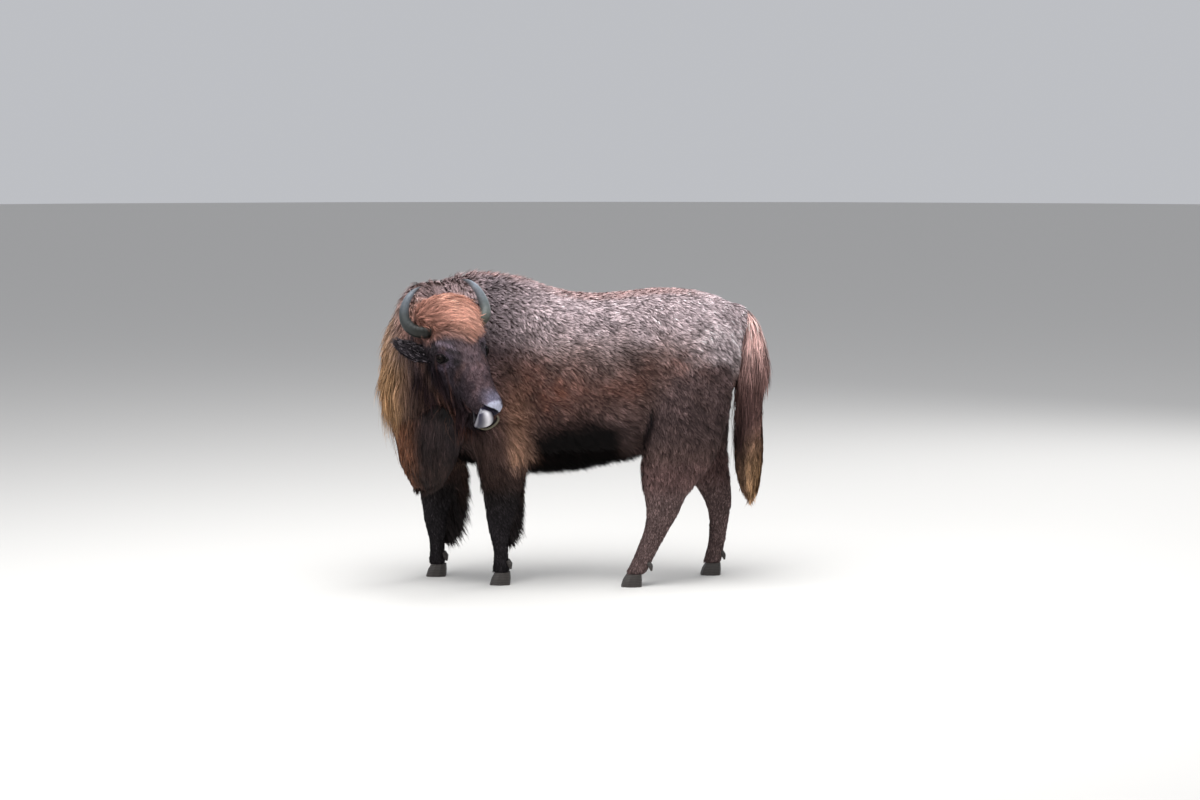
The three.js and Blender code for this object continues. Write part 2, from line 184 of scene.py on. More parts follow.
def unit(vectors):
    return vectors / np.maximum(np.linalg.norm(vectors, axis=-1, keepdims=True), 1e-9)


def scatter_sum(index, values, count):
    return np.stack([np.bincount(index, values[:, k], count) for k in range(values.shape[1])], 1)


def normals_of(points, tris):
    a, b, c = (points[tris[:, k]] for k in range(3))
    face = np.cross(b - a, c - a)
    return unit(sum(scatter_sum(tris[:, k], face, len(points)) for k in range(3)))


SWELL = 0.0016  # metres
swollen, corners, owner, start = [], [], [], 0
for name in FLESH:
    if name.startswith("ear"):
        continue
    points, tris = cad_arrays(name)
    swollen.append(points + normals_of(points, tris) * SWELL)
    corners.append(tris + start)
    owner += [PLACE[name]] * len(tris)
    start += len(points)
body = make_mesh("skin", np.vstack(swollen), np.vstack(corners))
owner = np.array(owner)
flesh_tree = BVHTree.FromPolygons(np.vstack(swollen).tolist(), np.vstack(corners).tolist())
print("flesh", len(owner), "triangles")

# %% Remesh, read and relax
def remesh(thing, voxel):
    step = thing.modifiers.new("voxels", "REMESH")
    step.mode, step.voxel_size = "VOXEL", voxel
    graph = bpy.context.evaluated_depsgraph_get()
    mesh = bpy.data.meshes.new_from_object(thing.evaluated_get(graph))
    thing.modifiers.clear()
    thing.data = mesh


def read(thing):
    """Points, triangles and edges of an object's mesh."""
    mesh = thing.data
    points = np.empty(len(mesh.vertices) * 3, np.float32)
    mesh.vertices.foreach_get("co", points)
    mesh.calc_loop_triangles()
    tris = np.empty(len(mesh.loop_triangles) * 3, np.int32)
    mesh.loop_triangles.foreach_get("vertices", tris)
    edges = np.empty(len(mesh.edges) * 2, np.int32)
    mesh.edges.foreach_get("vertices", edges)
    return points.reshape(-1, 3).astype(float), tris.reshape(-1, 3), edges.reshape(-1, 2)


def relax(values, edges, rounds, pull=0.5):
    """Moves each point's values towards the mean of its neighbours."""
    i, j = edges.T
    count = np.maximum(np.bincount(edges.ravel(), minlength=len(values)), 1)[:, None]
    pull = np.reshape(pull, (-1, 1))
    for _ in range(rounds):
        mean = (scatter_sum(i, values[j], len(values)) + scatter_sum(j, values[i], len(values))) / count
        values = values + pull * (mean - values)
    return values


def nearest_flesh(points):
    """Which flesh node each point lies on or in."""
    return owner[[flesh_tree.find_nearest(p)[2] for p in points.tolist()]]


def ramp(value, low, high):
    """0 below low, 1 above high and a smooth rise between; low may be the larger."""
    t = np.clip((value - low) / (high - low), 0, 1)
    return t * t * (3 - 2 * t)


FIRST_VOXEL, SECOND_VOXEL = 0.0095, 0.0138
remesh(body, FIRST_VOXEL)
points, tris, edges = read(body)
print("first remesh", len(points), "points")

# %% Draw the skin in
COAT_DEPTH = {  # metres from the tips of the hair to the skin
    "trunk": 0.015, "neck": 0.042, "head": 0.006, "jaw": 0.006, "ear_left": 0.006,
    "ear_right": 0.006, "tail_dock": 0.003, "upper": 0.013, "lower": 0.004,
}
BACK_OF_SHANK = np.array([  # height, and how far behind the foot the flesh of a foreleg ends
    (0.20, 0.043), (0.28, 0.050), (0.34, 0.062), (0.43, 0.084), (0.54, 0.112), (0.66, 0.128),
])


def foot_centre(leg):
    """The middle of the two claws of a foot, moved back a little to the middle of the shank."""
    low, high = (np.array(v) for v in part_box(f"{leg}_hoof_inner"))
    low2, high2 = (np.array(v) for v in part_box(f"{leg}_hoof_outer"))
    return (low + high + low2 + high2) / 4 + (0.006, 0, 0)


def part_of(name):
    """The key of a flesh node in COAT_DEPTH."""
    return name.rsplit("_", 1)[-1] if name.endswith(("upper", "lower")) else name


near = nearest_flesh(points)
for leg in ("fore_left", "fore_right"):
    foot = foot_centre(leg)
    mine = np.isin(near, [PLACE[f"{leg}_lower"], PLACE[f"{leg}_upper"]]) & (points[:, 2] < 0.66)
    edge = foot[0] + np.interp(points[:, 2], *BACK_OF_SHANK.T) + 0.004
    points[mine, 0] = np.minimum(points[mine, 0], edge[mine])
points = relax(points, edges, 2)

depth = np.array([COAT_DEPTH[part_of(name)] for name in FLESH])[near]
on_trunk = near == PLACE["trunk"]
x, y, z = points.T
top = ramp(normals_of(points, tris)[:, 2], 0.35, 0.85) * ramp(z, 1.1, 1.25)
depth[on_trunk] += 0.012 * (ramp(x, -0.15, -0.45) * ramp(z, 0.9, 1.2))[on_trunk]  # the wool of the hump
depth *= 1 - 0.42 * top  # hair along the back lies flat
depth[on_trunk] += 0.010 * ramp(z, 0.66, 0.60)[on_trunk]  # and hangs under the belly
depth = relax(depth[:, None], edges, 14) * ramp(z, 0.04, 0.14)[:, None]
DRAWS = 4
for _ in range(DRAWS):
    points = points - normals_of(points, tris) * depth / DRAWS
    points = relax(points, edges, 2, 0.4)
body.data.vertices.foreach_set("co", points.astype(np.float32).ravel())
remesh(body, SECOND_VOXEL)
points, tris, edges = read(body)
points = relax(points, edges, 3)
body.data.vertices.foreach_set("co", points.astype(np.float32).ravel())
print("second remesh", len(points), "points,", len(tris), "triangles")

# %% [markdown]
# ## Unwrap, then refine the head
# The skin is unwrapped while it is still coarse, so that every tuft can be given a patch at its root's
# own place. Then the head is cut finer, and finest round the eyes, where the lids need clean edges.

# %% Unwrap the skin
def unwrap(thing):
    thing.data.uv_layers.new(name="OFBake")
    bpy.context.view_layer.objects.active = thing
    thing.select_set(True)
    bpy.ops.object.mode_set(mode="EDIT")
    bpy.ops.mesh.select_all(action="SELECT")
    bpy.ops.uv.smart_project(angle_limit=np.radians(68), island_margin=0.002)
    bpy.ops.object.mode_set(mode="OBJECT")
    thing.select_set(False)


unwrap(body)
print("unwrapped", len(body.data.polygons), "faces")

# %% The head's own axes
NOSE = unit(np.array([0.4257, -0.5478, -0.7202]))
eyes = {side: np.mean([np.array(c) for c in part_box(f"eye_{side}")], axis=0) for side in ("left", "right")}
LEFT = eyes["left"] - eyes["right"]
EYE_SPREAD = np.linalg.norm(LEFT) / 2
LEFT = unit(LEFT - NOSE * (LEFT @ NOSE))
BROW = np.cross(NOSE, LEFT)
EYE_N, EYE_U = 0.169, -0.033  # where the eyes lie along the nose and below the forehead
HEAD = (eyes["left"] + eyes["right"]) / 2 - NOSE * EYE_N - BROW * EYE_U
AXES = np.stack([NOSE, LEFT, BROW], 1)


def in_head(points):
    """Distances towards the nose, towards the animal's left and out of the forehead."""
    return (points - HEAD) @ AXES


def from_head(n, l, u):
    return HEAD + np.stack(np.broadcast_arrays(n, l, u), -1) @ AXES.T


print("head origin", HEAD.round(3), "eyes", round(EYE_SPREAD * 2, 3), "m apart")

# %% Cut chosen faces finer
def refine(thing, chosen):
    """Cuts every edge between two chosen points in half, and fills the faces with a grid."""
    work = bmesh.new()
    work.from_mesh(thing.data)
    work.verts.ensure_lookup_table()
    cut = [e for e in work.edges if chosen[e.verts[0].index] and chosen[e.verts[1].index]]
    bmesh.ops.subdivide_edges(work, edges=cut, cuts=1, use_grid_fill=True)
    odd = [f for f in work.faces if len(f.verts) > 4]
    bmesh.ops.triangulate(work, faces=odd)
    work.to_mesh(thing.data)
    work.free()


def near_eye(points, reach):
    return np.minimum(*(np.linalg.norm(points - eyes[s], axis=1) for s in eyes)) < reach


points, tris, edges = read(body)
near = nearest_flesh(points)
on_head = np.isin(near, [PLACE["head"], PLACE["jaw"]])
refine(body, on_head)
points, tris, edges = read(body)
near = nearest_flesh(points)
on_face = np.isin(near, [PLACE["head"], PLACE["jaw"]]) & (in_head(points)[:, 0] > 0.03)
refine(body, on_face)
points, tris, edges = read(body)
near = nearest_flesh(points)
on_head = np.isin(near, [PLACE["head"], PLACE["jaw"]]).astype(float)
points = relax(points, edges, 6, 0.5 * on_head)
refine(body, near_eye(points, 0.062))
points, tris, edges = read(body)
points = relax(points, edges, 2, 0.5 * near_eye(points, 0.07))
body.data.vertices.foreach_set("co", points.astype(np.float32).ravel())
body.data.update()
print("refined", len(points), "points,", len(tris), "triangles")

# %% [markdown]
# ## Sculpt the face
# The CAD head is a plain loft, so the features come next: the deep socket and heavy brow, the cheek, the
# bridge and pad of the nose, and the lips. Each is a soft stamp, a push or a dent with a centre and a reach
# along the head's own axes, in millimetres, made once and mirrored. Stamps are easy to move and to undo,
# where a sculpting brush would leave nothing to read.

# %% Stamps on the head
STAMPS = [  # centre n l u, reach n l u, push outwards
    ((169, 122, -33), (46, 34, 34), -5.0),  # socket
    ((138, 118, 10), (44, 26, 17), 7.0),  # brow
    ((222, 108, -22), (26, 16, 11), -5.0),  # tear groove
    ((176, 130, -82), (40, 26, 16), 3.0),  # cheekbone
    ((180, 130, -165), (75, 40, 52), 5.0),  # cheek
    ((335, 86, -30), (78, 24, 26), -6.0),  # beside the bridge of the nose
    ((300, 0, 50), (110, 34, 30), 2.5),  # bridge of the nose
    ((460, 72, -82), (42, 24, 36), 5.0),  # upper lip
    ((520, 50, 4), (20, 24, 15), 4.0),  # wing of the nostril
    ((530, 0, -40), (16, 3.2, 36), -2.5),  # middle groove of the pad
    ((526, 0, 26), (16, 44, 12), 3.0),  # upper edge of the pad
    ((540, -2, -146), (26, 60, 11), 6.0),  # rim of the lower lip
    ((500, 30, -180), (30, 26, 14), 2.0),  # chin
]


def stamp(points, normals, centre, reach, push):
    """Pushes points near the centre outwards by `push` millimetres, on both sides of the head."""
    place = in_head(points) * 1000
    for side in ((1, -1) if centre[1] > 1 else (1,)):
        gap = (place - (centre[0], centre[1] * side, centre[2])) / reach
        points = points + normals * (push / 1000 * np.exp(-(gap**2).sum(1)))[:, None]
    return points


for centre, reach, push in STAMPS:
    points = stamp(points, normals_of(points, tris), centre, reach, push)
DRAWN = [  # centre n l u, reach n l u, and which way the skin is drawn, in metres
    ((545, 6, -148), (48, 82, 22), NOSE * 0.006),  # the lower lip, thrust forward
    ((515, 66, -138), (46, 20, 20), BROW * 0.016),  # its left corner, drawn up
    ((515, -66, -138), (46, 20, 20), BROW * 0.016),  # and its right corner
]
for centre, reach, way in DRAWN:
    gap = (in_head(points) * 1000 - centre) / reach
    points = points + way * np.exp(-(gap**2).sum(1))[:, None]
print(len(STAMPS), "stamps and", len(DRAWN), "pulls")

# %% [markdown]
# ## Nostrils
# A wisent's nostril is a dark comma that opens forwards and runs back along the lower edge of the bare pad.
# A hole would break the skin's unwrap, so it is a hollow pushed in with a bell-shaped curve, with a narrow
# groove leading out of it. The same mask of the groove later paints it dark, as painted shade in the hollow
# and painted shadow under the overhang of the pad.

# %% Nostrils
NOSTRIL = np.array([520, 50, -8])  # millimetres along the head's axes
NOSTRIL_EDGE = np.array([(-80, -16), (-64, -6), (-45, 0), (-30, -2), (0, -14), (22, -32)])  # l and u


def slit_of_nostril(n, l, u):
    """1 in the comma of each nostril and the groove it runs into, under the overhang of the pad; both later
    get painted shade.
    """
    dark = np.zeros(len(n))
    for side in (1, -1):
        edge = np.interp(l * side, *NOSTRIL_EDGE.T)
        ends = ramp(l * side, -84, -74) * (ramp(l, 32, 20) if side > 0 else ramp(-l, -22, -40))
        dark = np.maximum(dark, np.exp(-(((u - edge) / 5.5) ** 2)) * ends)
    return dark * ramp(n, 488, 500)


def nostrils(points):
    """Comma-shaped hollows that run in and back, one each side of the pad."""
    place = in_head(points) * 1000
    for side in (1, -1):
        gap = place - NOSTRIL * (1, side, 1)
        bent = gap[:, 2] + 0.012 * (gap[:, 1] * side) ** 2
        round_gap = (gap[:, 0] / 26) ** 2 + (gap[:, 1] / 22) ** 2 + (bent / 8) ** 2
        pull = np.exp(-(round_gap**1.6)) * 16
        push = -(NOSE * 0.75 + LEFT * side * 0.45 - BROW * 0.1)
        points = points + pull[:, None] / 1000 * push
    return points - NOSE * 0.007 * slit_of_nostril(*place.T)[:, None]


points = nostrils(points)
print("groove on", int((slit_of_nostril(*(in_head(points) * 1000).T) > 0.5).sum()), "points")

# %% [markdown]
# ## Eye openings
# The lids of a wisent close to a long almond over a dark ball. The skin already passes over the eyeball, so
# the points near it are slid outwards into an almond, those inside it drop behind the ball, and those on
# its edge rise into a rim that lies on the ball as a lid does.

# %% Eyes and lids
EYE_RADIUS = float(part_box("eye_right")[1][2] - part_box("eye_right")[0][2]) / 2
SLIT = np.array([0.0390, 0.0180])  # half the width and height of the opening
LID, BEHIND_BALL = 0.0018, -0.0045  # metres over and under the eyeball
EDGE_SNAP = np.array([  # almonds from the middle, before and after: points gather at the edge, which is 1
    (0.0, 0.0), (0.70, 0.78), (0.96, 0.985), (1.04, 1.035), (1.35, 1.30), (1.6, 1.6),
])
LID_PROFILE = np.array([  # almonds from the middle, metres up: the rim, the fold behind it, then flat
    (1.0, 0.0), (1.12, 0.0018), (1.35, 0.0008), (1.75, -0.0030), (2.1, 0.0004), (2.6, 0), (4.2, 0),
])


def eye_axes(side):
    """Outward, towards the front corner, and up, for one eye."""
    s = 1 if side == "left" else -1
    out = unit(LEFT * s * 0.85 + BROW * 0.38 + NOSE * 0.30)
    front = NOSE * 0.74 + BROW * 0.67
    front = unit(front - out * (front @ out))
    return out, front, np.cross(out, front) * -s


def lids(points, side):
    """Opens an almond over the eyeball, raises a lid round it and folds the skin above and below."""
    out, front, up = eye_axes(side)
    gap = points - eyes[side]
    a, b, away = gap @ front, gap @ up, gap @ out
    height = np.where(b > 0, SLIT[1] * 1.06, SLIT[1] * 0.94)
    height = height * (1 - 0.52 * np.clip(a / SLIT[0], -1, 1.2) ** 2)
    ring = np.sqrt((a / SLIT[0]) ** 2 + (b / height) ** 2)
    mine = (ring < 4.2) & (away > -0.01) & (away < 0.06)
    snap = np.interp(ring, *EDGE_SNAP.T)
    snap = np.where(ring < 1.6, snap, ring)
    slide = snap / np.maximum(ring, 1e-6) - 1
    moved = points + (front * (a * slide)[:, None] + up * (b * slide)[:, None])
    gap = moved - eyes[side]
    a, b, away = gap @ front, gap @ up, gap @ out
    flat = a**2 + b**2
    dome = EYE_RADIUS + np.where(snap < 1, BEHIND_BALL, LID)
    over = np.sqrt(np.maximum(dome**2 - flat, (0.35 * EYE_RADIUS) ** 2))
    rise = np.interp(snap, *LID_PROFILE.T) * np.where(b > 0, 1.25, 0.75)
    keep = ramp(snap, 1.25, 2.5)
    target = (over + rise) * (1 - keep) + (away + rise) * keep
    moved = moved + out * (target - away)[:, None]
    return np.where(mine[:, None], moved, points)


for side in eyes:
    points = lids(points, side)
body.data.vertices.foreach_set("co", points.astype(np.float32).ravel())
body.data.update()
print("eye radius", round(EYE_RADIUS * 1000, 1), "mm")

# %% [markdown]
# ## Lower lip
# The rim of the lower lip is a firm, hairless roll round the front of the jaw, too sharp for a stamp on the
# skin. It is lofted along a smooth line instead, as a flattened tube that tapers at both corners of the
# mouth, and joined to the skin so that both are one piece with one unwrap.

# %% Lower lip
def curve_through(knots, count):
    """A smooth curve (Catmull-Rom) through rows of numbers, at evenly spaced steps."""
    knots = np.asarray(knots, float)
    padded = np.vstack([2 * knots[0] - knots[1], knots, 2 * knots[-1] - knots[-2]])
    where = np.linspace(0, len(knots) - 1, count)
    i = np.minimum(where.astype(int), len(knots) - 2)
    t = (where - i)[:, None]
    a, b, c, d = (padded[i + k] for k in range(4))
    return 0.5 * (2 * b + (c - a) * t + (2 * a - 5 * b + 4 * c - d) * t**2 + (3 * b - a - 3 * c + d) * t**3)


def turned_out(points, faces):
    """The faces of a closed shape, reversed if they face inwards."""
    a, b, c = (points[faces[:, k]] - points.mean(0) for k in range(3))
    return faces if (a * np.cross(b, c)).sum() > 0 else faces[:, ::-1]


def tube_faces(rows, columns):
    """Quads between neighbouring rings of a tube, each ring a row of points that closes on itself."""
    r, c = np.meshgrid(np.arange(rows - 1), np.arange(columns), indexing="ij")
    right = (c + 1) % columns
    quads = [r * columns + c, r * columns + right, (r + 1) * columns + right, (r + 1) * columns + c]
    return np.stack(quads, -1).reshape(-1, 4)


def shrink_unwrap(thing, scale, corner):
    """Scales a thing's unwrap and moves it to a corner of its own on the sheet."""
    layer = thing.data.uv_layers["OFBake"].uv
    flat = np.empty(len(layer) * 2, np.float32)
    layer.foreach_get("vector", flat)
    layer.foreach_set("vector", (flat.reshape(-1, 2) * scale + corner).astype(np.float32).ravel())


LIP_LINE = [  # n l u in millimetres, from the right corner of the mouth to the left
    (500, -62, -142), (516, -58, -145), (532, -41, -153), (545, -19, -157), (547, 9, -157),
    (542, 37, -149), (534, 57, -138), (523, 68, -125), (508, 66, -115),
]
LIP_DEPTH, LIP_SETBACK, LIP_HEIGHT = 0.012, 0.009, 0.0034
LIP_ROWS, LIP_SIDES = 48, 16
BODY_SHARE, PART_SHARE = 0.93, 0.058  # how much of the sheet's side the skin and each added part take


def lip_roll():
    """The rim of the lower lip, a flattened roll round the front of the jaw."""
    place = from_head(*(curve_through(LIP_LINE, LIP_ROWS).T / 1000))
    out = place - from_head(0.48, 0, -0.14)
    out = unit(out - BROW * (out @ BROW)[:, None])[:, None]
    size = (0.08 + 0.92 * np.sin(np.linspace(0, np.pi, LIP_ROWS)) ** 0.4)[:, None, None]
    turn = np.linspace(0, 2 * np.pi, LIP_SIDES, endpoint=False)[None, :, None]
    ahead, rise = LIP_DEPTH * np.cos(turn) - LIP_SETBACK, LIP_HEIGHT * np.sin(turn)
    ring = (place[:, None] + (out * ahead + BROW * rise) * size).reshape(-1, 3)
    return ring, turned_out(ring, tube_faces(LIP_ROWS, LIP_SIDES))


shrink_unwrap(body, BODY_SHARE, (0, 0))
lip = make_mesh("lip_roll", *lip_roll())
unwrap(lip)
shrink_unwrap(lip, PART_SHARE, (0.938, 0.18))
print("lip roll", len(lip.data.polygons), "faces")

# %% [markdown]
# ## Ears
# An ear is a leaf of gristle rolled into a cup at its root. Each is lofted on its own line, with a front
# and a back a few millimetres apart, and joined to the skin, where the long hair of the cheek covers its
# root. The right ear is held out and up; the left one lies back along the neck.

# %% Ears
EAR_LINES = {
    "right": [(118, -98, -80), (86, -146, -97), (50, -192, -106), (8, -234, -106), (-36, -262, -102)],
    "left": [(82, 100, -88), (56, 134, -136), (34, 148, -180), (12, 152, -222), (-6, 152, -252)],
}
EAR_SHAPE = [  # half width, cup, thickness
    (28, 24, 7), (42, 23, 6), (51, 18, 5), (53, 14, 4.5), (47, 9, 4), (22, 2, 1.5),
]
EAR_CORNERS = {"right": (0.938, 0.02), "left": (0.938, 0.1)}  # on the unwrapped sheet
EAR_ROWS, EAR_COLUMNS = 26, 15


def ear_leaf(side):
    centre = from_head(*(curve_through(EAR_LINES[side], EAR_ROWS).T / 1000))
    along = unit(np.gradient(centre, axis=0))
    wide = unit(NOSE - along * (along @ NOSE)[:, None])
    face = np.cross(along, wide)
    face = face * np.sign(face @ BROW)[:, None]
    half, cup, thick = (curve_through(EAR_SHAPE, EAR_ROWS) / 1000).T[:, :, None]
    v = np.linspace(-1, 1, EAR_COLUMNS)
    middle = centre[:, None] + wide[:, None] * (half * v)[..., None]
    middle = middle - face[:, None] * (cup * (1 - v**2))[..., None]
    lift = face[:, None] * (thick * (0.35 + 0.65 * (1 - v**2)) / 2)[..., None]
    leaf = np.concatenate([middle + lift, (middle - lift)[:, ::-1]], axis=1).reshape(-1, 3)
    return leaf, turned_out(leaf, tube_faces(EAR_ROWS, 2 * EAR_COLUMNS))


ears = []
for side, corner in EAR_CORNERS.items():
    ear = make_mesh(f"ear_leaf_{side}", *ear_leaf(side))
    unwrap(ear)
    shrink_unwrap(ear, PART_SHARE, corner)
    ears.append(ear)
ear_points = sum(len(ear.data.vertices) for ear in ears)
bpy.context.view_layer.objects.active = body
for thing in (body, lip, *ears):
    thing.select_set(True)
bpy.ops.object.join()
body.select_set(False)
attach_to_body(body, "root")
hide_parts(*FLESH)
print("ears joined,", ear_points, "points")

# %% [markdown]
# ## Regions and the lie of the coat
# Every part of the coat has its own length, curl and colour. The skin's points are sorted into regions by
# the CAD solid they came from and by where they lie, and the borders are blurred, so that one kind of coat
# runs into the next. The same blurred regions steer the hair: back and down along the ribs, down the
# legs, sideways over the crown and towards the nose on the face.

# %% Regions
REGIONS = ("barrel", "hump", "belly", "neck", "crown", "face", "jowl", "chin", "ear", "elbow", "forearm",
           "fore_shank", "thigh", "stifle", "gaskin", "hind_shank", "rump")
points, tris, edges = read(body)
normals = normals_of(points, tris)
near = nearest_flesh(points)
n, l, u = (in_head(points) * 1000).T
x, y, z = points.T
is_ear = np.zeros(len(points), bool)
is_ear[-ear_points:] = True
weight = {name: np.zeros(len(points)) for name in REGIONS}


def is_node(*names):
    return np.isin(near, [PLACE[name] for name in names]) & ~is_ear


trunk = is_node("trunk").astype(float)
under = ramp(normals[:, 2], -0.25, -0.8) * ramp(z, 0.80, 0.64)
shoulder = ramp(x, -0.05, -0.42) * ramp(z, 0.80, 1.15)
croup = ramp(x, 0.45, 0.75) * ramp(z, 1.0, 1.2)
weight["belly"] = trunk * under
weight["hump"] = trunk * shoulder * (1 - under)
weight["rump"] = trunk * croup + is_node("tail_dock")
weight["barrel"] = np.clip(trunk - weight["belly"] - weight["hump"] - weight["rump"], 0, 1)
crown = ramp(n + 0.9 * np.abs(l), 184, 124) * ramp(u, -75, -25)  # ends in a point above the eyes
low_cheek = ramp(u, -92, -140) * ramp(n, 430, 350)
weight["crown"] = is_node("head") * crown
weight["jowl"] = is_node("head") * (1 - crown) * low_cheek + is_node("jaw") * ramp(n, 470, 400)
weight["face"] = is_node("head") * (1 - crown) * (1 - low_cheek)
weight["chin"] = is_node("jaw") * ramp(n, 400, 470)
weight["neck"] = 1.0 * is_node("neck")
# Behind the horns the wool of the crown runs on over the first part of the neck.
poll = np.linalg.norm(points - from_head(-0.09, -0.02, 0.05), axis=1)
crest = weight["neck"] * ramp(poll, 0.30, 0.16)
weight["crown"] += crest
weight["neck"] = weight["neck"] - crest
weight["ear"] = 1.0 * is_ear
for leg in LEGS:
    upper, lower = 1.0 * is_node(f"{leg}_upper"), 1.0 * is_node(f"{leg}_lower")
    if leg.startswith("fore"):
        weight["elbow"] += upper * ramp(z, 0.92, 0.74)
        weight["hump"] += upper * ramp(z, 0.74, 0.92)
        weight["forearm"] += lower * ramp(z, 0.36, 0.46)
        weight["fore_shank"] += lower * ramp(z, 0.46, 0.36)
    else:
        weight["thigh"] += upper * ramp(z, 0.70, 0.86)
        weight["stifle"] += upper * ramp(z, 0.86, 0.70)
        weight["gaskin"] += lower * ramp(z, 0.44, 0.54)
        weight["hind_shank"] += lower * ramp(z, 0.54, 0.44)
weights = np.stack([weight[name] for name in REGIONS], 1)
weights = relax(weights, edges, 16, 0.5)
weights = weights / np.maximum(weights.sum(1, keepdims=True), 1e-6)
print({name: round(float(w), 3) for name, w in zip(REGIONS, weights.mean(0))})

# %% The lie of the coat
DRIFT_WAVES, DRIFT_SCALE = 7, 2.6


def drift(places, size, seed):
    """A slow field between about -1 and 1 that changes over `size` metres; one number for each place."""
    rng = np.random.default_rng(seed)
    total = np.zeros(len(places))
    for _ in range(DRIFT_WAVES):
        wave = rng.normal(size=3)
        wave = wave / np.linalg.norm(wave) * rng.uniform(0.6, 1.7) * 2 * np.pi / size
        total = total + np.sin(places @ wave + rng.uniform(0, 2 * np.pi))
    return total / DRIFT_SCALE


def ear_way(side):
    """From the root of an ear to its tip."""
    root, tip = (from_head(*(np.array(EAR_LINES[side][k]) / 1000)) for k in (0, -1))
    return tip - root


def lie_of(places, outward, mix):
    """The way the hair lies at each place: a unit vector along the skin."""
    n, l, _ = (in_head(places) * 1000).T
    ones = np.ones((len(places), 1))
    cheek = ramp(n, 60, 300)[:, None]
    swirl = ramp(np.abs(l), 40, 110)[:, None]
    ways = {
        "barrel": ones * (0.82, 0, -0.57),
        "hump": ones * (0.66, 0, -0.75),
        "rump": ones * (0.80, 0, -0.60),
        "belly": ones * (0.85, 0, -0.45),
        "neck": ones * (0.05, 0, -1),
        "crown": LEFT * 0.84 + NOSE * (0.30 + 0.45 * ramp(n, 40, 130)[:, None]) + BROW * 0.05,
        "face": (NOSE * (0.75 + 0.25 * cheek) + BROW * (-0.55 * swirl * (1 - cheek))
                 + np.array((0, 0, -0.25)) * swirl),
        "jowl": ones * (-0.12, 0.10, -1) + NOSE * 0.15,
        "chin": ones * (0.1, -0.1, -1) - NOSE * 0.2,
        "ear": np.where((l < 0)[:, None], ear_way("right"), ear_way("left")),
        "elbow": ones * (0.35, 0, -0.94),
        "forearm": ones * (0.30, 0, -0.95),
        "fore_shank": ones * (0.10, 0, -1),
        "thigh": ones * (0.62, 0, -0.78),
        "stifle": ones * (0.18, 0, -0.98),
        "gaskin": ones * (0.15, 0, -0.99),
        "hind_shank": ones * (0.05, 0, -1),
    }
    way = sum(mix[:, [k]] * unit(ways[name]) for k, name in enumerate(REGIONS))
    way = way - outward * (way * outward).sum(1, keepdims=True)
    way = unit(way)
    across = np.cross(outward, way)
    stray = 0.22 * drift(places, 0.34, 5) + 0.16 * drift(places, 0.12, 6)
    return unit(way + across * stray[:, None])


lie = lie_of(points, normals, weights)
print("lie of the coat at", len(lie), "points")

# %% [markdown]
# ## Markings
# The summer coat is grey-brown and paler along the back, where painted sheen of the sky makes it almost
# silvery, rufous in patches over the flanks, and nearly black below, deepened by painted shade under the
# belly. The face is dark, the crown ginger, and the outer neck ochre. One function gives the colour for any
# place on the animal, so the skin and every tuft rooted in it carry the same markings.

# %% Colours by region
def paint(red, green, blue):
    """A colour given as the eye sees it, 0 to 255, as the linear light a shader takes."""
    c = np.array((red, green, blue)) / 255
    return np.where(c <= 0.04045, c / 12.92, ((c + 0.055) / 1.055) ** 2.4)


def mixed(a, b, share):
    return a + (b - a) * np.reshape(share, (-1, 1))


# The belly's near black tone is partly painted shade under the body.
TONES = {
    "barrel": paint(118, 100, 97), "hump": paint(70, 56, 58), "belly": paint(4, 3, 3),
    "neck": paint(90, 68, 58), "crown": paint(160, 117, 102), "face": paint(36, 28, 34),
    "jowl": paint(37, 27, 29), "chin": paint(30, 24, 26), "ear": paint(15, 13, 17),
    "elbow": paint(64, 48, 44), "forearm": paint(30, 27, 27), "fore_shank": paint(38, 35, 37),
    "thigh": paint(66, 57, 59), "stifle": paint(72, 56, 53), "gaskin": paint(84, 64, 62),
    "hind_shank": paint(100, 82, 80), "rump": paint(202, 188, 190),
}
SPINE_Y = float(np.mean([corner[1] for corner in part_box("trunk")]))
FORE_FEET = {side: foot_centre(f"fore_{side}")[0] for side in ("left", "right")}


ALMOND = np.array([0.051, 0.0255])  # half the length and height of an eye's dark rim, metres
FAR = 9.0  # almonds; further than any marking reaches
DARKEST = 0.0006  # the darkest that a blade or the skin is painted, in linear light


def eye_ring(places):
    """How far a place is from the nearer eye, in almonds: 1 at the edge of the lids; and how far in front
    of that eye's middle and above it, in metres."""
    best, ahead, above = np.full(len(places), FAR), np.ones(len(places)), np.ones(len(places))
    for side in eyes:
        out, front, up = eye_axes(side)
        gap = places - eyes[side]
        a, b, away = gap @ front + 0.003, gap @ up, gap @ out
        tall = ALMOND[1] * (1 - 0.45 * np.clip(a / ALMOND[0], -1, 1) ** 2)
        ring = np.sqrt((a / ALMOND[0]) ** 2 + (b / tall) ** 2) + FAR * (away < -0.01) + FAR * (away > 0.09)
        ahead, above = np.where(ring < best, a, ahead), np.where(ring < best, b, above)
        best = np.minimum(best, ring)
    return best, ahead, above


def bell(value, middle, reach):
    """1 at the middle, falling away smoothly on both sides."""
    return np.exp(-(((value - middle) / reach) ** 2))


def patch(x, z, middle, reach):
    """A soft round patch seen from the side, 1 in its middle."""
    return np.exp(-(((x - middle[0]) / reach[0]) ** 2) - ((z - middle[1]) / reach[1]) ** 2)


print(len(TONES), "tones; spine at y =", round(SPINE_Y, 3))

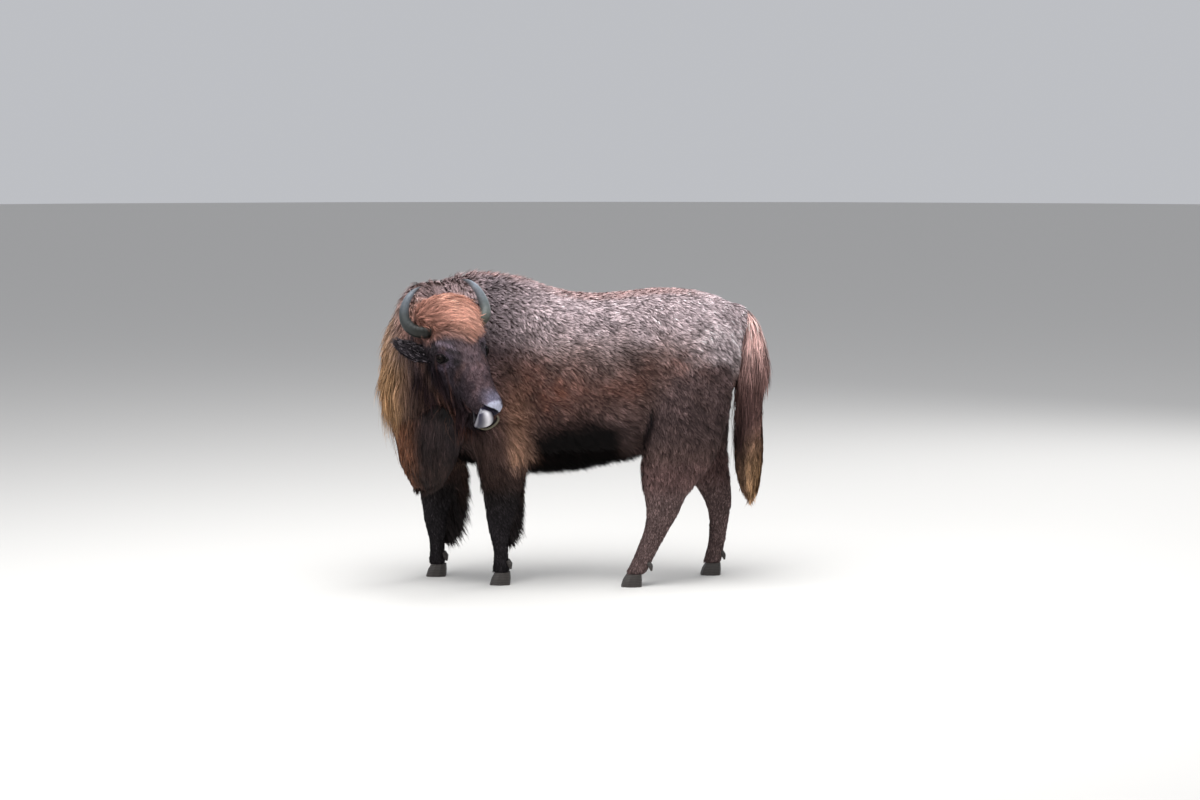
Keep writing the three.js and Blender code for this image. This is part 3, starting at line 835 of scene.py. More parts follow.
# %% Markings of the trunk
def trunk_marks(places, outward, w):
    """Colours to lay over one another, each with its share; `w` holds the weight of every region."""
    x, _, z = places.T
    ribs = w["barrel"] + w["hump"] + w["rump"] + 0.6 * w["thigh"]
    sides = w["barrel"] + w["hump"] + 0.5 * w["thigh"]
    wave = 0.05 * drift(places, 0.35, 15)
    rough = 0.75 + 0.35 * drift(places * (1, 1, 1.4), 0.11, 11)
    high = ramp(z + 0.03 * drift(places, 0.25, 14), 1.16, 1.40) * ribs
    warm = patch(x, z, (-0.12, 1.02), (0.17, 0.13))
    warm += 0.8 * patch(x, z, (0.24, 1.03), (0.13, 0.07))
    warm += 0.9 * patch(x, z, (0.54, 1.16), (0.14, 0.09))
    blade = patch(x, z, (-0.295, 0.88), (0.075, 0.14))
    flap = patch(x, z, (0.24, 0.84), (0.09, 0.09))
    groove_shade = bell(x - 0.25 * (z - 0.8), 0.375, 0.022) * ramp(z, 0.66, 0.74) * ramp(z, 0.96, 0.88)
    hollow_shade = patch(x, z, (0.30, 1.19), (0.10, 0.06))
    dark = np.clip(0.5 * ramp(drift(places, 0.16, 12), 0.2, 1.2) * ramp(z, 1.5, 1.3) + 0.6 * hollow_shade, 0, 0.8)
    under = ramp(z + 0.6 * wave, 0.87, 0.77) * ramp(x, 0.28, 0.17) * ramp(x, -0.26, -0.17)
    under = np.maximum(under, ramp(z, 0.72, 0.66) * ramp(x, 0.42, 0.30)) * (sides + w["belly"])
    crest = ramp(outward[:, 2], 0.86, 0.98) * (w["barrel"] + w["hump"])
    return [
        (paint(168, 151, 153), 0.85 * high * (1 - 0.85 * w["hump"])),  # silver along the back: paler coat with painted sheen of the sky
        (paint(76, 55, 50), 0.85 * ramp(z + wave, 1.27, 1.04) * sides),  # brown flanks
        (paint(42, 32, 31), 0.9 * ramp(z + wave, 0.98, 0.80) * sides),  # darker below
        (paint(110, 68, 54), np.clip(0.58 * warm * rough, 0, 0.8) * (ribs + 0.4 * w["stifle"])),  # rufous
        (paint(128, 94, 78), 0.85 * np.clip(blade, 0, 1) * (sides + w["elbow"])),  # behind the elbow
        (paint(98, 79, 77), 0.6 * flap * rough * (sides + w["stifle"])),  # the fold of the flank
        (paint(20, 14, 15), 0.8 * groove_shade * (sides + w["thigh"] + w["stifle"])),  # painted shade in the groove behind it
        (paint(52, 39, 35), dark * ribs),  # painted shade in the hollow of the flank, and loose dark blotches
        (paint(3, 2, 2), 0.98 * np.clip(under, 0, 1)),  # black under the belly: dark coat deepened by painted shade
        (paint(146, 104, 92), 0.55 * crest),  # a ginger line along the spine
    ]


print("trunk", len(trunk_marks(points, normals, weight)), "markings")

# %% Markings of the neck and forelegs
def neck_and_leg_marks(places, w):
    x, y, z = places.T
    wave = 0.05 * drift(places, 0.35, 15)
    behind = x - np.where(y < SPINE_Y, FORE_FEET["left"], FORE_FEET["right"])
    top = ramp(z, 1.40, 1.49) * ramp(x, -0.44, -0.56) * (w["neck"] + w["hump"])
    return [
        (paint(150, 124, 122), 0.6 * top),  # pale where the neck meets the hump
        (paint(172, 134, 96), 0.8 * ramp(x, -0.80, -0.93) * w["neck"]),  # ochre on the outer side
        (paint(38, 27, 27), 0.85 * w["neck"] * ramp(z, 1.22, 0.98) * ramp(x, -0.86, -0.75)),  # dark inside
        (paint(104, 70, 52), 0.8 * w["neck"] * ramp(z, 0.98, 0.84) * ramp(x, -0.72, -0.84)),  # low, rufous
        (paint(150, 114, 92), 0.9 * ramp(behind, -0.01, 0.07) * w["elbow"] * ramp(z, 0.60, 0.70)),  # elbow
        (paint(58, 44, 40), 0.75 * ramp(z + 0.4 * wave, 0.47, 0.60) * w["forearm"]),  # top of the forearm
    ]


print("neck and forelegs", len(neck_and_leg_marks(points, weight)), "markings")

# %% Markings of the face and crown
def from_ear_root(places):
    """Metres to the root of the nearer ear."""
    ear_roots = (from_head(0.095, s * 0.125, -0.09) for s in (1, -1))
    return np.minimum(*(np.linalg.norm(places - root, axis=1) for root in ear_roots))


def face_marks(places, w):
    n, l, u = (in_head(places) * 1000).T
    ring, ahead, above = eye_ring(places)
    by_eye = w["face"] * ramp(ring, 8, 6)
    bridge = w["face"] * ramp(np.abs(l), 92, 30) * ramp(n, 60, 180)
    muzzle_sheen = w["face"] * bell(l, 5, 48) * ramp(n, 400, 500) * ramp(u, -20, 10)
    over_crease = above - (0.0615 - 0.15 * ahead)
    crease_width = 0.005 + 0.004 * ramp(ahead, 0.03, 0.07)
    span = by_eye * ramp(ahead, -0.055, -0.03) * ramp(ahead, 0.13, 0.11)
    tear = ((ahead - 0.093) / 0.030) ** 2 + ((above + 0.004) / 0.022) ** 2
    fox = ramp(drift(places * (1, 1, 0.6), 0.10, 16), 0.1, 1.1)
    fox = fox * (w["jowl"] + 0.5 * w["face"] * ramp(n, 330, 260))
    return [
        (paint(95, 75, 78), 0.8 * bridge * (0.8 + 0.3 * drift(places, 0.05, 17))),  # bridge of the nose
        (paint(128, 126, 148), 0.8 * muzzle_sheen),  # painted bluish sheen on the short hair behind the pad
        (paint(86, 75, 88), 0.85 * w["face"] * ramp(ring, 2.6, 2.0) * ramp(ahead, 0.09, 0.05)),  # lids
        (paint(118, 102, 114), 0.8 * span * bell(over_crease, 0.020, 0.011)),  # painted highlight on the ridge of the brow
        (paint(8, 6, 8), span * bell(over_crease, 0, crease_width)),  # painted shade in the crease of the upper lid
        (paint(8, 6, 9), 0.95 * by_eye * np.exp(-tear)),  # the wet corner of the eye
        (paint(22, 17, 20), 0.85 * ramp(from_ear_root(places), 0.105, 0.05) * (w["face"] + w["jowl"])),
        (paint(27, 20, 26), 0.8 * w["face"] * ramp(u, -50, -110) * ramp(n, 440, 340)),  # the cheek
        (paint(104, 68, 54), 0.5 * fox * ramp(n, 90, 160)),  # foxy streaks down the cheek
    ]


def crown_marks(places, w):
    n, l, _ = (in_head(places) * 1000).T
    wavy_n = n + 12 * drift(places, 0.05, 18)
    return [
        (paint(160, 118, 102), 0.6 * w["crown"] * ramp(n, -60, -140)),  # behind the horns
        (paint(100, 70, 60), 0.8 * w["crown"] * ramp(wavy_n, 45, 140)),  # the forehead
        (paint(116, 78, 68), 0.6 * w["crown"] * ramp(l, -45, -115)),  # the animal's right side
    ]


print("face and crown", len(face_marks(points, weight)) + len(crown_marks(points, weight)), "markings")

# %% All markings
FAR_SHANK_SHADE = 0.04  # how much painted shade darkens the hind shank on the far side of the spine


def markings(places, outward, mix):
    """The colour of the coat at each place, from its region, its height and slow variation."""
    w = {name: mix[:, k] for k, name in enumerate(REGIONS)}
    tone = sum(mix[:, [k]] * TONES[name] for k, name in enumerate(REGIONS))
    marks = trunk_marks(places, outward, w) + neck_and_leg_marks(places, w)
    for colour, share in marks + face_marks(places, w) + crown_marks(places, w):
        tone = mixed(tone, colour, share)
    far = (places[:, 1] >= SPINE_Y) * w["hind_shank"]
    tone = tone * (1 - FAR_SHANK_SHADE * far)[:, None]
    return np.clip(tone * (1 + 0.12 * drift(places, 0.09, 13))[:, None], DARKEST, 1)


tone = markings(points, normals, weights)
print("markings", tone.mean(0).round(3))

# %% [markdown]
# ## Finishes
# Skin, tufts and locks all read the same painted markings. Fine grain breaks up the colour and roughness of
# every finish, and on the skin between the tufts fine streaks run with the hair. Each of the two is a node
# group with named inputs, so each material sets its own values. The shaders stay in the materials.

# %% Node groups
def link(tree, source, target):
    tree.links.new(source, target)


def new_group(name, inputs, outputs):
    group = bpy.data.node_groups.new(name, "ShaderNodeTree")
    for label, kind, value in inputs:
        socket = group.interface.new_socket(name=label, in_out="INPUT", socket_type=kind)
        if value is not None:
            socket.default_value = value
    for label, kind in outputs:
        group.interface.new_socket(name=label, in_out="OUTPUT", socket_type=kind)
    return group, group.nodes.new("NodeGroupInput"), group.nodes.new("NodeGroupOutput")


def add_node(tree, kind, **settings):
    node = tree.nodes.new(kind)
    for key, value in settings.items():
        if key in node.inputs.keys():
            node.inputs[key].default_value = value
        else:
            setattr(node, key, value)
    return node


def combine(tree, operation, *values):
    """The result of a math node that is fed with sockets and plain numbers."""
    node = add_node(tree, "ShaderNodeMath", operation=operation)
    for i, value in enumerate(values):
        if isinstance(value, bpy.types.NodeSocket):
            link(tree, value, node.inputs[i])
        else:
            node.inputs[i].default_value = value
    return node.outputs[0]


def grain_group():
    """Tint varied by fine noise, and a roughness that follows it."""
    group, given, result = new_group(
        "grain",
        [("Tint", "NodeSocketColor", None), ("Scale", "NodeSocketFloat", 60.0),
         ("Depth", "NodeSocketFloat", 0.3), ("Roughness", "NodeSocketFloat", 0.7),
         ("Shift", "NodeSocketFloat", 0.15)],
        [("Tint", "NodeSocketColor"), ("Roughness", "NodeSocketFloat"), ("Height", "NodeSocketFloat")],
    )
    where = add_node(group, "ShaderNodeTexCoord")
    noise = add_node(group, "ShaderNodeTexNoise", Detail=5.0, Roughness=0.6)
    link(group, where.outputs["Object"], noise.inputs["Vector"])
    link(group, given.outputs["Scale"], noise.inputs["Scale"])
    centred = combine(group, "SUBTRACT", noise.outputs["Fac"], 0.5)
    swing = combine(group, "MULTIPLY", centred, given.outputs["Depth"])
    scale = add_node(group, "ShaderNodeVectorMath", operation="SCALE")
    link(group, given.outputs["Tint"], scale.inputs[0])
    link(group, combine(group, "MULTIPLY_ADD", swing, 2.0, 1.0), scale.inputs["Scale"])
    link(group, scale.outputs[0], result.inputs["Tint"])
    rough = combine(group, "MULTIPLY_ADD", centred, given.outputs["Shift"], given.outputs["Roughness"])
    link(group, rough, result.inputs["Roughness"])
    link(group, noise.outputs["Fac"], result.inputs["Height"])
    return group


def streak_group():
    """Height of fine streaks along a direction: the place squeezed along it, then noise."""
    group, given, result = new_group(
        "streaks",
        [("Comb", "NodeSocketVector", None), ("Scale", "NodeSocketFloat", 300.0)],
        [("Height", "NodeSocketFloat")],
    )
    noise = add_node(group, "ShaderNodeTexNoise", Detail=3.0, Roughness=0.55)
    link(group, given.outputs["Comb"], noise.inputs["Vector"])
    link(group, given.outputs["Scale"], noise.inputs["Scale"])
    link(group, noise.outputs["Fac"], result.inputs["Height"])
    return group


GRAIN, STREAKS = grain_group(), streak_group()
print("node groups", [g.name for g in bpy.data.node_groups])

# %% Materials of coat and skin
SPECULAR = "Specular IOR Level"


def use_group(tree, group, **values):
    node = tree.nodes.new("ShaderNodeGroup")
    node.node_tree = group
    for key, value in values.items():
        node.inputs[key].default_value = value
    return node


def add_bump(tree, height, strength, distance):
    bump = add_node(tree, "ShaderNodeBump", Strength=strength, Distance=distance)
    link(tree, height, bump.inputs["Height"])
    link(tree, bump.outputs["Normal"], tree.nodes["Principled BSDF"].inputs["Normal"])
    return bump


def add_grain(tree, tint, scale, depth, roughness, shift):
    """Lays grain over a tint and feeds both the colour and the roughness of the shader."""
    shader = tree.nodes["Principled BSDF"]
    grain = use_group(tree, GRAIN, Scale=scale, Depth=depth, Roughness=roughness, Shift=shift)
    link(tree, tint, grain.inputs["Tint"])
    link(tree, grain.outputs["Tint"], shader.inputs["Base Color"])
    link(tree, grain.outputs["Roughness"], shader.inputs["Roughness"])
    return grain


def painted_material(name, scale, depth, roughness, looks, shift=0.2):
    """Painted markings with grain: for tufts and locks, and for the wet tongue and eyes."""
    material, tree, _ = new_material(name, looks)
    painted = add_node(tree, "ShaderNodeVertexColor", layer_name="Markings")
    add_grain(tree, painted.outputs["Color"], scale, depth, roughness, shift)
    return material


def skin_material(name):
    """The skin and its shortest hair: markings, and streaks that run with the lie of the coat."""
    material = painted_material(name, 90.0, 0.5, 0.78, {SPECULAR: 0.09})
    tree = material.node_tree
    comb = add_node(tree, "ShaderNodeAttribute", attribute_name="Comb")
    streaks = use_group(tree, STREAKS, Scale=420.0)
    link(tree, comb.outputs["Vector"], streaks.inputs["Comb"])
    add_bump(tree, streaks.outputs["Height"], 0.6, 0.004)
    wet = add_node(tree, "ShaderNodeAttribute", attribute_name="Wet")
    smooth = add_node(tree, "ShaderNodeMapRange")
    smooth.inputs["To Min"].default_value, smooth.inputs["To Max"].default_value = 1.0, 0.42
    link(tree, wet.outputs["Fac"], smooth.inputs["Value"])
    rough = tree.nodes["Principled BSDF"].inputs["Roughness"]
    link(tree, combine(tree, "MULTIPLY", rough.links[0].from_socket, smooth.outputs["Result"]), rough)
    return material


COAT = painted_material("coat_hair", 140.0, 0.45, 0.6, {SPECULAR: 0.10})
DARK_COAT = painted_material("dark_hair", 140.0, 0.45, 0.7, {SPECULAR: 0.04})
LONG_HAIR = painted_material("long_hair", 90.0, 0.4, 0.55, {SPECULAR: 0.14})
SKIN = skin_material("skin")
print("materials", [m.name for m in (COAT, DARK_COAT, LONG_HAIR, SKIN)])

# %% [markdown]
# ## Bare skin
# The pad of the nose, the lips and the rims of the eyes carry no hair. Masks along the head's axes say
# where the skin is bare: they give it its own colours, make it smoother because it is wet, and later keep
# the hair away. Painted shade darkens the nostrils, the mouth and the skin under the pad. A mask painted on
# the points needs no image and stays sharp enough on the refined head.

# %% Bare skin
def paint_points(thing, colours):
    layer = thing.data.color_attributes.new("Markings", "FLOAT_COLOR", "POINT")
    rgba = np.ones((len(colours), 4), np.float32)
    rgba[:, :3] = colours
    layer.data.foreach_set("color", rgba.ravel())


PAD_EDGE = np.array([  # l and u of the pad's lower edge, from the right nostril to the left side
    (-80, -16), (-64, -6), (-45, 0), (-30, -2), (0, -14), (22, -30), (45, -52), (64, -74),
])


def over_edge(l, u):
    """How far a place is above the lower edge of the nose pad, in millimetres."""
    return u - np.interp(l, *PAD_EDGE.T)


def on_pad(n, l, u):
    return ramp(n, 500, 514) * ramp(over_edge(l, u), -4, 2) * ramp(np.abs(l - 8), 66, 54)


def under_pad(n, l, u):
    sides = ramp(np.abs(l - 6), 74, 64)
    return ramp(n, 496, 510) * ramp(over_edge(l, u), 4, -2) * ramp(u, -128, -114) * sides


def in_mouth(n, l, u):
    return ramp(n, 450, 480) * bell(u, -122, 12) * ramp(np.abs(l), 66, 58)


# Colour and mask of n l u in millimetres; later ones lie over earlier ones.
# The pale pad, then the dark wet skin under it, deepened by painted shade under its overhang, then painted
# shade in the mouth.
BARE_SPOTS = [(paint(182, 184, 202), on_pad), (paint(24, 20, 36), under_pad), (paint(20, 15, 20), in_mouth)]
LIP_PLACES = curve_through(LIP_LINE, 32)
FAR_FROM_LIP = 99.0  # millimetres; further than any mask reaches


def from_lip(n, l, u):
    """How many millimetres a place is from the rim of the lower lip."""
    gap, close = np.full(len(n), FAR_FROM_LIP), n > 440
    place = np.stack([n, l, u], 1)[close]
    gap[close] = np.linalg.norm(place[:, None] - LIP_PLACES[None], axis=2).min(1)
    return gap


def bare_skin(places):
    """Colour and share of the bare skin: nose pad, lips, nostrils and the dark rims of the eyes, with
    painted shade in the nostrils, the mouth and under the pad.
    """
    n, l, u = (in_head(places) * 1000).T
    colour, share = np.zeros((len(places), 3)) + 0.1, np.zeros(len(places))
    for tint, mask in BARE_SPOTS:
        here = mask(n, l, u)
        colour = mixed(colour, tint, here)
        share = np.maximum(share, here)
    # Painted shade in the nostrils and painted shadow along the groove under the pad.
    dark = np.clip(slit_of_nostril(n, l, u) * 1.3, 0, 1)
    colour = mixed(colour, paint(10, 8, 14), dark)
    lip_gap = from_lip(n, l, u)
    by_lip = ramp(lip_gap, 21, 13)
    colour = mixed(colour, paint(30, 25, 28), by_lip)
    colour = mixed(colour, paint(122, 115, 98), ramp(lip_gap, 9, 6))  # the rim of the lip itself
    share = np.maximum(share, by_lip)
    eye_rim = ramp(eye_ring(places)[0], 1.12, 0.98)
    colour = mixed(colour, paint(8, 6, 8), eye_rim)
    inside = ramp(np.abs(l), 125, 100) * ramp(n, 700, 640)
    return colour, np.maximum(np.maximum(share, dark) * inside, eye_rim)


# Under the hair the skin takes half the coat's colour, partly as painted shade beneath the coat.
UNDER_HAIR_SHADE = 0.5


def finish_skin():
    """Paints the skin, darker under the hair, partly as painted shade beneath the coat, and marks where it
    is wet and how the coat lies.
    """
    colour, share = bare_skin(points)
    paint_points(body, mixed(tone * UNDER_HAIR_SHADE, colour, share))
    wet = body.data.attributes.new("Wet", "FLOAT", "POINT")
    wet.data.foreach_set("value", share.astype(np.float32))
    comb = body.data.attributes.new("Comb", "FLOAT_VECTOR", "POINT")
    pressed = points - lie * ((points * lie).sum(1, keepdims=True)) * 0.9
    comb.data.foreach_set("vector", pressed.astype(np.float32).ravel())
    body.data.materials.clear()
    body.data.materials.append(SKIN)


finish_skin()
print("bare skin on", int((bare_skin(points)[1] > 0.5).sum()), "points")

# %% [markdown]
# ## Tufts
# A tuft is a few thin, tapering blades that start a little apart and draw together at their tips, as damp
# or weathered hair does. Each blade steps along its own path: out of the skin, over with the lie of the
# coat, and down with gravity if it is long. All blades of a piece are joined in one mesh. Each tuft takes
# its colour from the markings and its patch on the bake sheet from its root.

# %% Where tufts are rooted
def in_triangles(rng, count):
    """Even random places in triangles, as the shares of their three corners."""
    share = np.sqrt(rng.random(count))
    slide = rng.random(count)
    return np.stack([1 - share, share * (1 - slide), share * slide], 1)[..., None]


def areas(points, tris):
    a, b, c = (points[tris[:, k]] for k in range(3))
    return np.linalg.norm(np.cross(b - a, c - a), axis=1) / 2


corner_uv = np.empty(len(body.data.loops) * 2, np.float32)
body.data.uv_layers["OFBake"].uv.foreach_get("vector", corner_uv)
tri_loops = np.empty(len(body.data.loop_triangles) * 3, np.int32)
body.data.loop_triangles.foreach_get("loops", tri_loops)
tri_uv = corner_uv.reshape(-1, 2)[tri_loops.reshape(-1, 3)]
tri_area = areas(points, tris)
region_area = {name: round(float((weights[tris, k].mean(1) * tri_area).sum()), 3)
               for k, name in enumerate(REGIONS)}
print("skin area by region, m2", region_area)


class Roots:
    """Places on the skin where tufts start, with all they need to know about the skin there."""

    def __init__(self, place, outward, lie, mix, uv):
        self.place, self.outward, self.lie, self.mix, self.uv = place, outward, lie, mix, uv

    def __len__(self):
        return len(self.place)

    def pick(self, chosen):
        return Roots(*(v[chosen] for v in (self.place, self.outward, self.lie, self.mix, self.uv)))


def sow(density, seed):
    """Roots scattered over the skin; `density` is tufts per square metre at each point of the skin."""
    rng = np.random.default_rng(seed)
    wanted = tri_area * density[tris].mean(1)
    count = np.floor(wanted + rng.random(len(wanted))).astype(int)
    face = np.repeat(np.arange(len(tris)), count)
    shares = in_triangles(rng, len(face))

    def blend(values):
        return (values[tris[face]] * shares).sum(1)

    return Roots(blend(points), unit(blend(normals)), unit(blend(lie)), blend(weights),
                 (tri_uv[face] * shares).sum(1))


# %% Growing blades
UV_PATCH = 0.003  # a blade's patch, as a share of the bake sheet's side
ROOT_SHADE = 0.34  # how bright the root of a blade is beside its middle: painted shade deep in the coat
SINK_SHARE = 0.06  # no root lies deeper than this share of its length, so that short hair still shows
DOWN = np.array((0, 0, -1.0))


def blade_faces(count, joints):
    """Each blade as a strip of quads, cut in two, with one triangle at its tip."""
    high = 2 * joints + 1
    pattern = []
    for a in range(0, high - 3, 2):
        pattern += [(a, a + 1, a + 3), (a, a + 3, a + 2)]
    pattern.append((high - 3, high - 2, high - 1))
    return (np.arange(count)[:, None, None] * high + np.array(pattern)[None]).reshape(-1, 3)


def blade_rows(rng, roots, each, count, joints, size, width, rise, curl, droop, sink,
               clump, splay, soften, waves):
    """Points and normals of all blades; `each` repeats a value of the tufts for their blades."""
    outward, way = each(roots.outward), each(roots.lie)
    across = np.cross(outward, way)
    wide = each(width) * rng.uniform(0.7, 1.25, count)
    lift = each(rise) * rng.uniform(0.5, 1.5, count)
    bend = each(curl) * rng.normal(0, 1, count) + each(rng.normal(0, 1, len(roots)) * curl)
    phase = rng.uniform(0, 2 * np.pi, count)
    start = rng.normal(size=(count, 2)) * clump
    end = start * 0.25 + rng.normal(size=(count, 2)) * splay
    twist = rng.uniform(-0.9, 0.9, count)[:, None]
    spot = each(roots.place) - outward * each(sink)[:, None] + across * start[:, :1] + way * start[:, 1:]
    shift = (across * (end - start)[:, :1] + way * (end - start)[:, 1:]) / joints
    places, facings = [], []
    for t in np.arange(joints + 1) / joints:
        turn = bend * np.sin(phase + waves * 2 * np.pi * t)
        heading = unit(way + outward * (lift * (1 - 1.25 * t))[:, None] + across * turn[:, None]
                       + DOWN * (each(droop) * t)[:, None])
        side = unit(np.cross(heading, outward))
        side = unit(side * np.cos(twist) + outward * np.sin(twist))
        half = (wide / 2 * (1 - t) ** 0.55 * (0.75 + 0.5 * np.sin(np.pi * min(t + 0.15, 1))))[:, None]
        facing = np.cross(side, heading)
        facing = facing * np.sign((facing * outward).sum(1))[:, None]
        normal = unit(outward * soften + facing * (1 - soften))
        places += [spot - side * half, spot + side * half] if t < 1 else [spot]
        facings += [normal] * (2 if t < 1 else 1)
        spot = spot + heading * (size / joints)[:, None] + shift
    return np.stack(places, 1).reshape(-1, 3), np.stack(facings, 1).reshape(-1, 3)


def grow(name, roots, seed, *, length, width, rise, curl, tone, tip, droop=0.0, blades=4, joints=3,
         clump=0.004, splay=0.0015, soften=0.7, material=None, sink=0.002, waves=1.0):
    """One mesh of tufts. Lengths are per tuft in metres; tone and tip are colours at root and end."""
    rng = np.random.default_rng(seed)
    tufts = len(roots)
    count = tufts * blades

    def each(values):
        """Values of tufts, repeated for their blades."""
        return np.repeat(np.broadcast_to(values, (tufts, *np.shape(values)[1:])), blades, axis=0)

    size = each(length * rng.uniform(0.78, 1.15, tufts)) * rng.uniform(0.75, 1.1, count)
    depth = np.minimum(sink, SINK_SHARE * length)
    places, facings = blade_rows(rng, roots, each, count, joints, size, width, rise, curl, droop, depth,
                                 clump, splay, soften, waves)
    faces = blade_faces(count, joints)
    thing = make_mesh(name, places, faces)
    t = np.append(np.repeat(np.arange(joints) / joints, 2), 1.0)
    glow = (rng.lognormal(0, 0.16, count) * each(rng.lognormal(-0.05, 0.34, tufts)))[:, None, None]
    first, last = each(tone)[:, None], each(tip)[:, None]
    # Painted shade darkens each blade towards its root, deep in the coat.
    shade = (ROOT_SHADE + (1 - ROOT_SHADE) * np.minimum(t * 1.6, 1))[None, :, None]
    colour = (first + (last - first) * (t**0.8)[None, :, None]) * shade * glow
    paint_points(thing, np.clip(colour, DARKEST, 1).reshape(-1, 3))
    layer = thing.data.uv_layers.new(name="OFBake")
    edge = np.append(np.tile((-1, 1), joints), 0.0)
    patch_uv = np.stack([edge, t * 2 - 1], 1) * UV_PATCH / 2
    sheet = (each(roots.uv)[:, None] + patch_uv[None]).reshape(-1, 2)
    layer.uv.foreach_set("vector", sheet[faces.ravel()].astype(np.float32).ravel())
    thing.data.normals_split_custom_set_from_vertices(facings)
    thing.data.materials.append(material or COAT)
    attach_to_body(thing, "root")
    print(f"{name}: {tufts} tufts, {len(faces)} triangles")
    return thing


print("a tuft of 4 blades with 3 joints has", len(blade_faces(4, 3)), "triangles")

# %% Kinds of coat
KINDS = {  # length mm, width mm, rise, curl, tufts per m2
    "barrel": (36, 3.5, 0.45, 0.22, 9600), "hump": (46, 4.0, 0.62, 0.34, 9800),
    "belly": (72, 4.2, 0.75, 0.3, 7000), "neck": (98, 3.9, 0.5, 0.26, 6600),
    "crown": (80, 2.6, 0.60, 0.28, 19000), "face": (22, 1.8, 0.32, 0.2, 32000),
    "jowl": (100, 2.7, 0.36, 0.22, 11500), "chin": (36, 2.4, 0.5, 0.15, 16000),
    "ear": (26, 1.9, 0.5, 0.2, 20000), "rump": (36, 3.5, 0.42, 0.2, 10500),
    "elbow": (105, 3.4, 0.55, 0.30, 10500), "forearm": (38, 3.4, 0.5, 0.25, 10500),
    "fore_shank": (19, 2.4, 0.3, 0.1, 15000), "thigh": (38, 3.5, 0.5, 0.38, 10500),
    "stifle": (52, 3.7, 0.7, 0.6, 10500), "gaskin": (44, 3.5, 0.6, 0.5, 11000),
    "hind_shank": (17, 2.3, 0.28, 0.08, 15000),
}
KIND_TABLE = np.array([KINDS[name] for name in REGIONS], float)


def hairy(places):
    """1 where hair grows and 0 on the pad of the nose, the lips and the rims of the eyes."""
    by_lip = ramp(from_lip(*(in_head(places) * 1000).T), 34, 22)
    return np.clip(1 - 1.05 * bare_skin(places)[1] - by_lip, 0, 1)


on_muzzle = weights[:, REGIONS.index("face")] * ramp(in_head(points)[:, 0], 0.36, 0.44)
density = weights @ KIND_TABLE[:, 4] * hairy(points)
density *= 1 + 1.2 * ramp(eye_ring(points)[0], 3.2, 2.2) + 0.7 * on_muzzle
roots = sow(density, 1)
print("roots", len(roots))

# %% Length and stance of each tuft
kind = roots.mix @ KIND_TABLE
length, width, rise, curl = kind.T[:4]
on = {name: roots.mix[:, k] for k, name in enumerate(REGIONS)}
n, l, u = (in_head(roots.place) * 1000).T
x, y, z = roots.place.T
ring = eye_ring(roots.place)[0]
long_hair = np.clip(on["neck"] + on["jowl"], 0, 1)
ragged = np.random.default_rng(2).uniform(0.7, 1.45, len(roots))
face_length = (0.62 + 0.75 * ramp(n, 480, 300)) * (0.26 + 0.74 * ramp(ring, 1.6, 3.2))
length *= 1 - on["face"] * (1 - face_length)
width *= 1 - 0.3 * on["face"] * np.maximum(ramp(n, 380, 480), ramp(ring, 2.6, 1.5))
length *= 1 + 1.2 * on["neck"] * ramp(z, 1.15, 0.90)  # longer towards the throat
length *= 1 + 0.7 * on["jowl"] * ramp(u, -180, -250) * ramp(n, 380, 300)  # the beard's start
rise *= 1 + (0.9 * on["neck"] + 1.5 * on["hump"]) * ramp(roots.outward[:, 2], 0.1, 0.7)
length *= 1 - 0.45 * on["neck"] * ramp(z, 1.36, 1.47)
length *= 1 + (ragged - 1) * long_hair
length *= 1 + 0.9 * on["forearm"] * ramp(z, 0.46, 0.58)
length *= 1 + on["barrel"] * patch(x, z, (0.25, 0.77), (0.11, 0.10))  # the fold of the flank
print("mean length of the short coat", round(float(length.mean()), 1), "mm")

# %% Colour of each tuft
root_tone = markings(roots.place, roots.outward, roots.mix)
# Tips high on the body and on the face are paled as painted sheen; a few hairs of the ears are pale
# strands.
tip_sheen_and_pale_strands = 0.26 * ramp(z, 1.1, 1.45) * (1 - on["crown"]) + 0.05 * on["face"] * ramp(n, 150, 260)
tip_sheen_and_pale_strands = np.clip(tip_sheen_and_pale_strands, 0, 1)
tip_sheen_and_pale_strands += 0.45 * on["ear"] * (np.random.default_rng(3).random(len(roots)) < 0.10)  # a few pale strands
# Tips are painted lighter than their roots, as painted sheen on the hair.
tip_sheen_gain = 1.75 - 0.35 * np.maximum(long_hair, on["face"])
haze = 0.004 * ramp(root_tone, 0.004, 0.03) * (1 - on["face"])[:, None]  # keeps brown tips from going black
tip_tone = mixed(root_tone * tip_sheen_gain[:, None] + haze, paint(205, 192, 200), tip_sheen_and_pale_strands)
print("roots", root_tone.mean(0).round(3), "tips", tip_tone.mean(0).round(3))

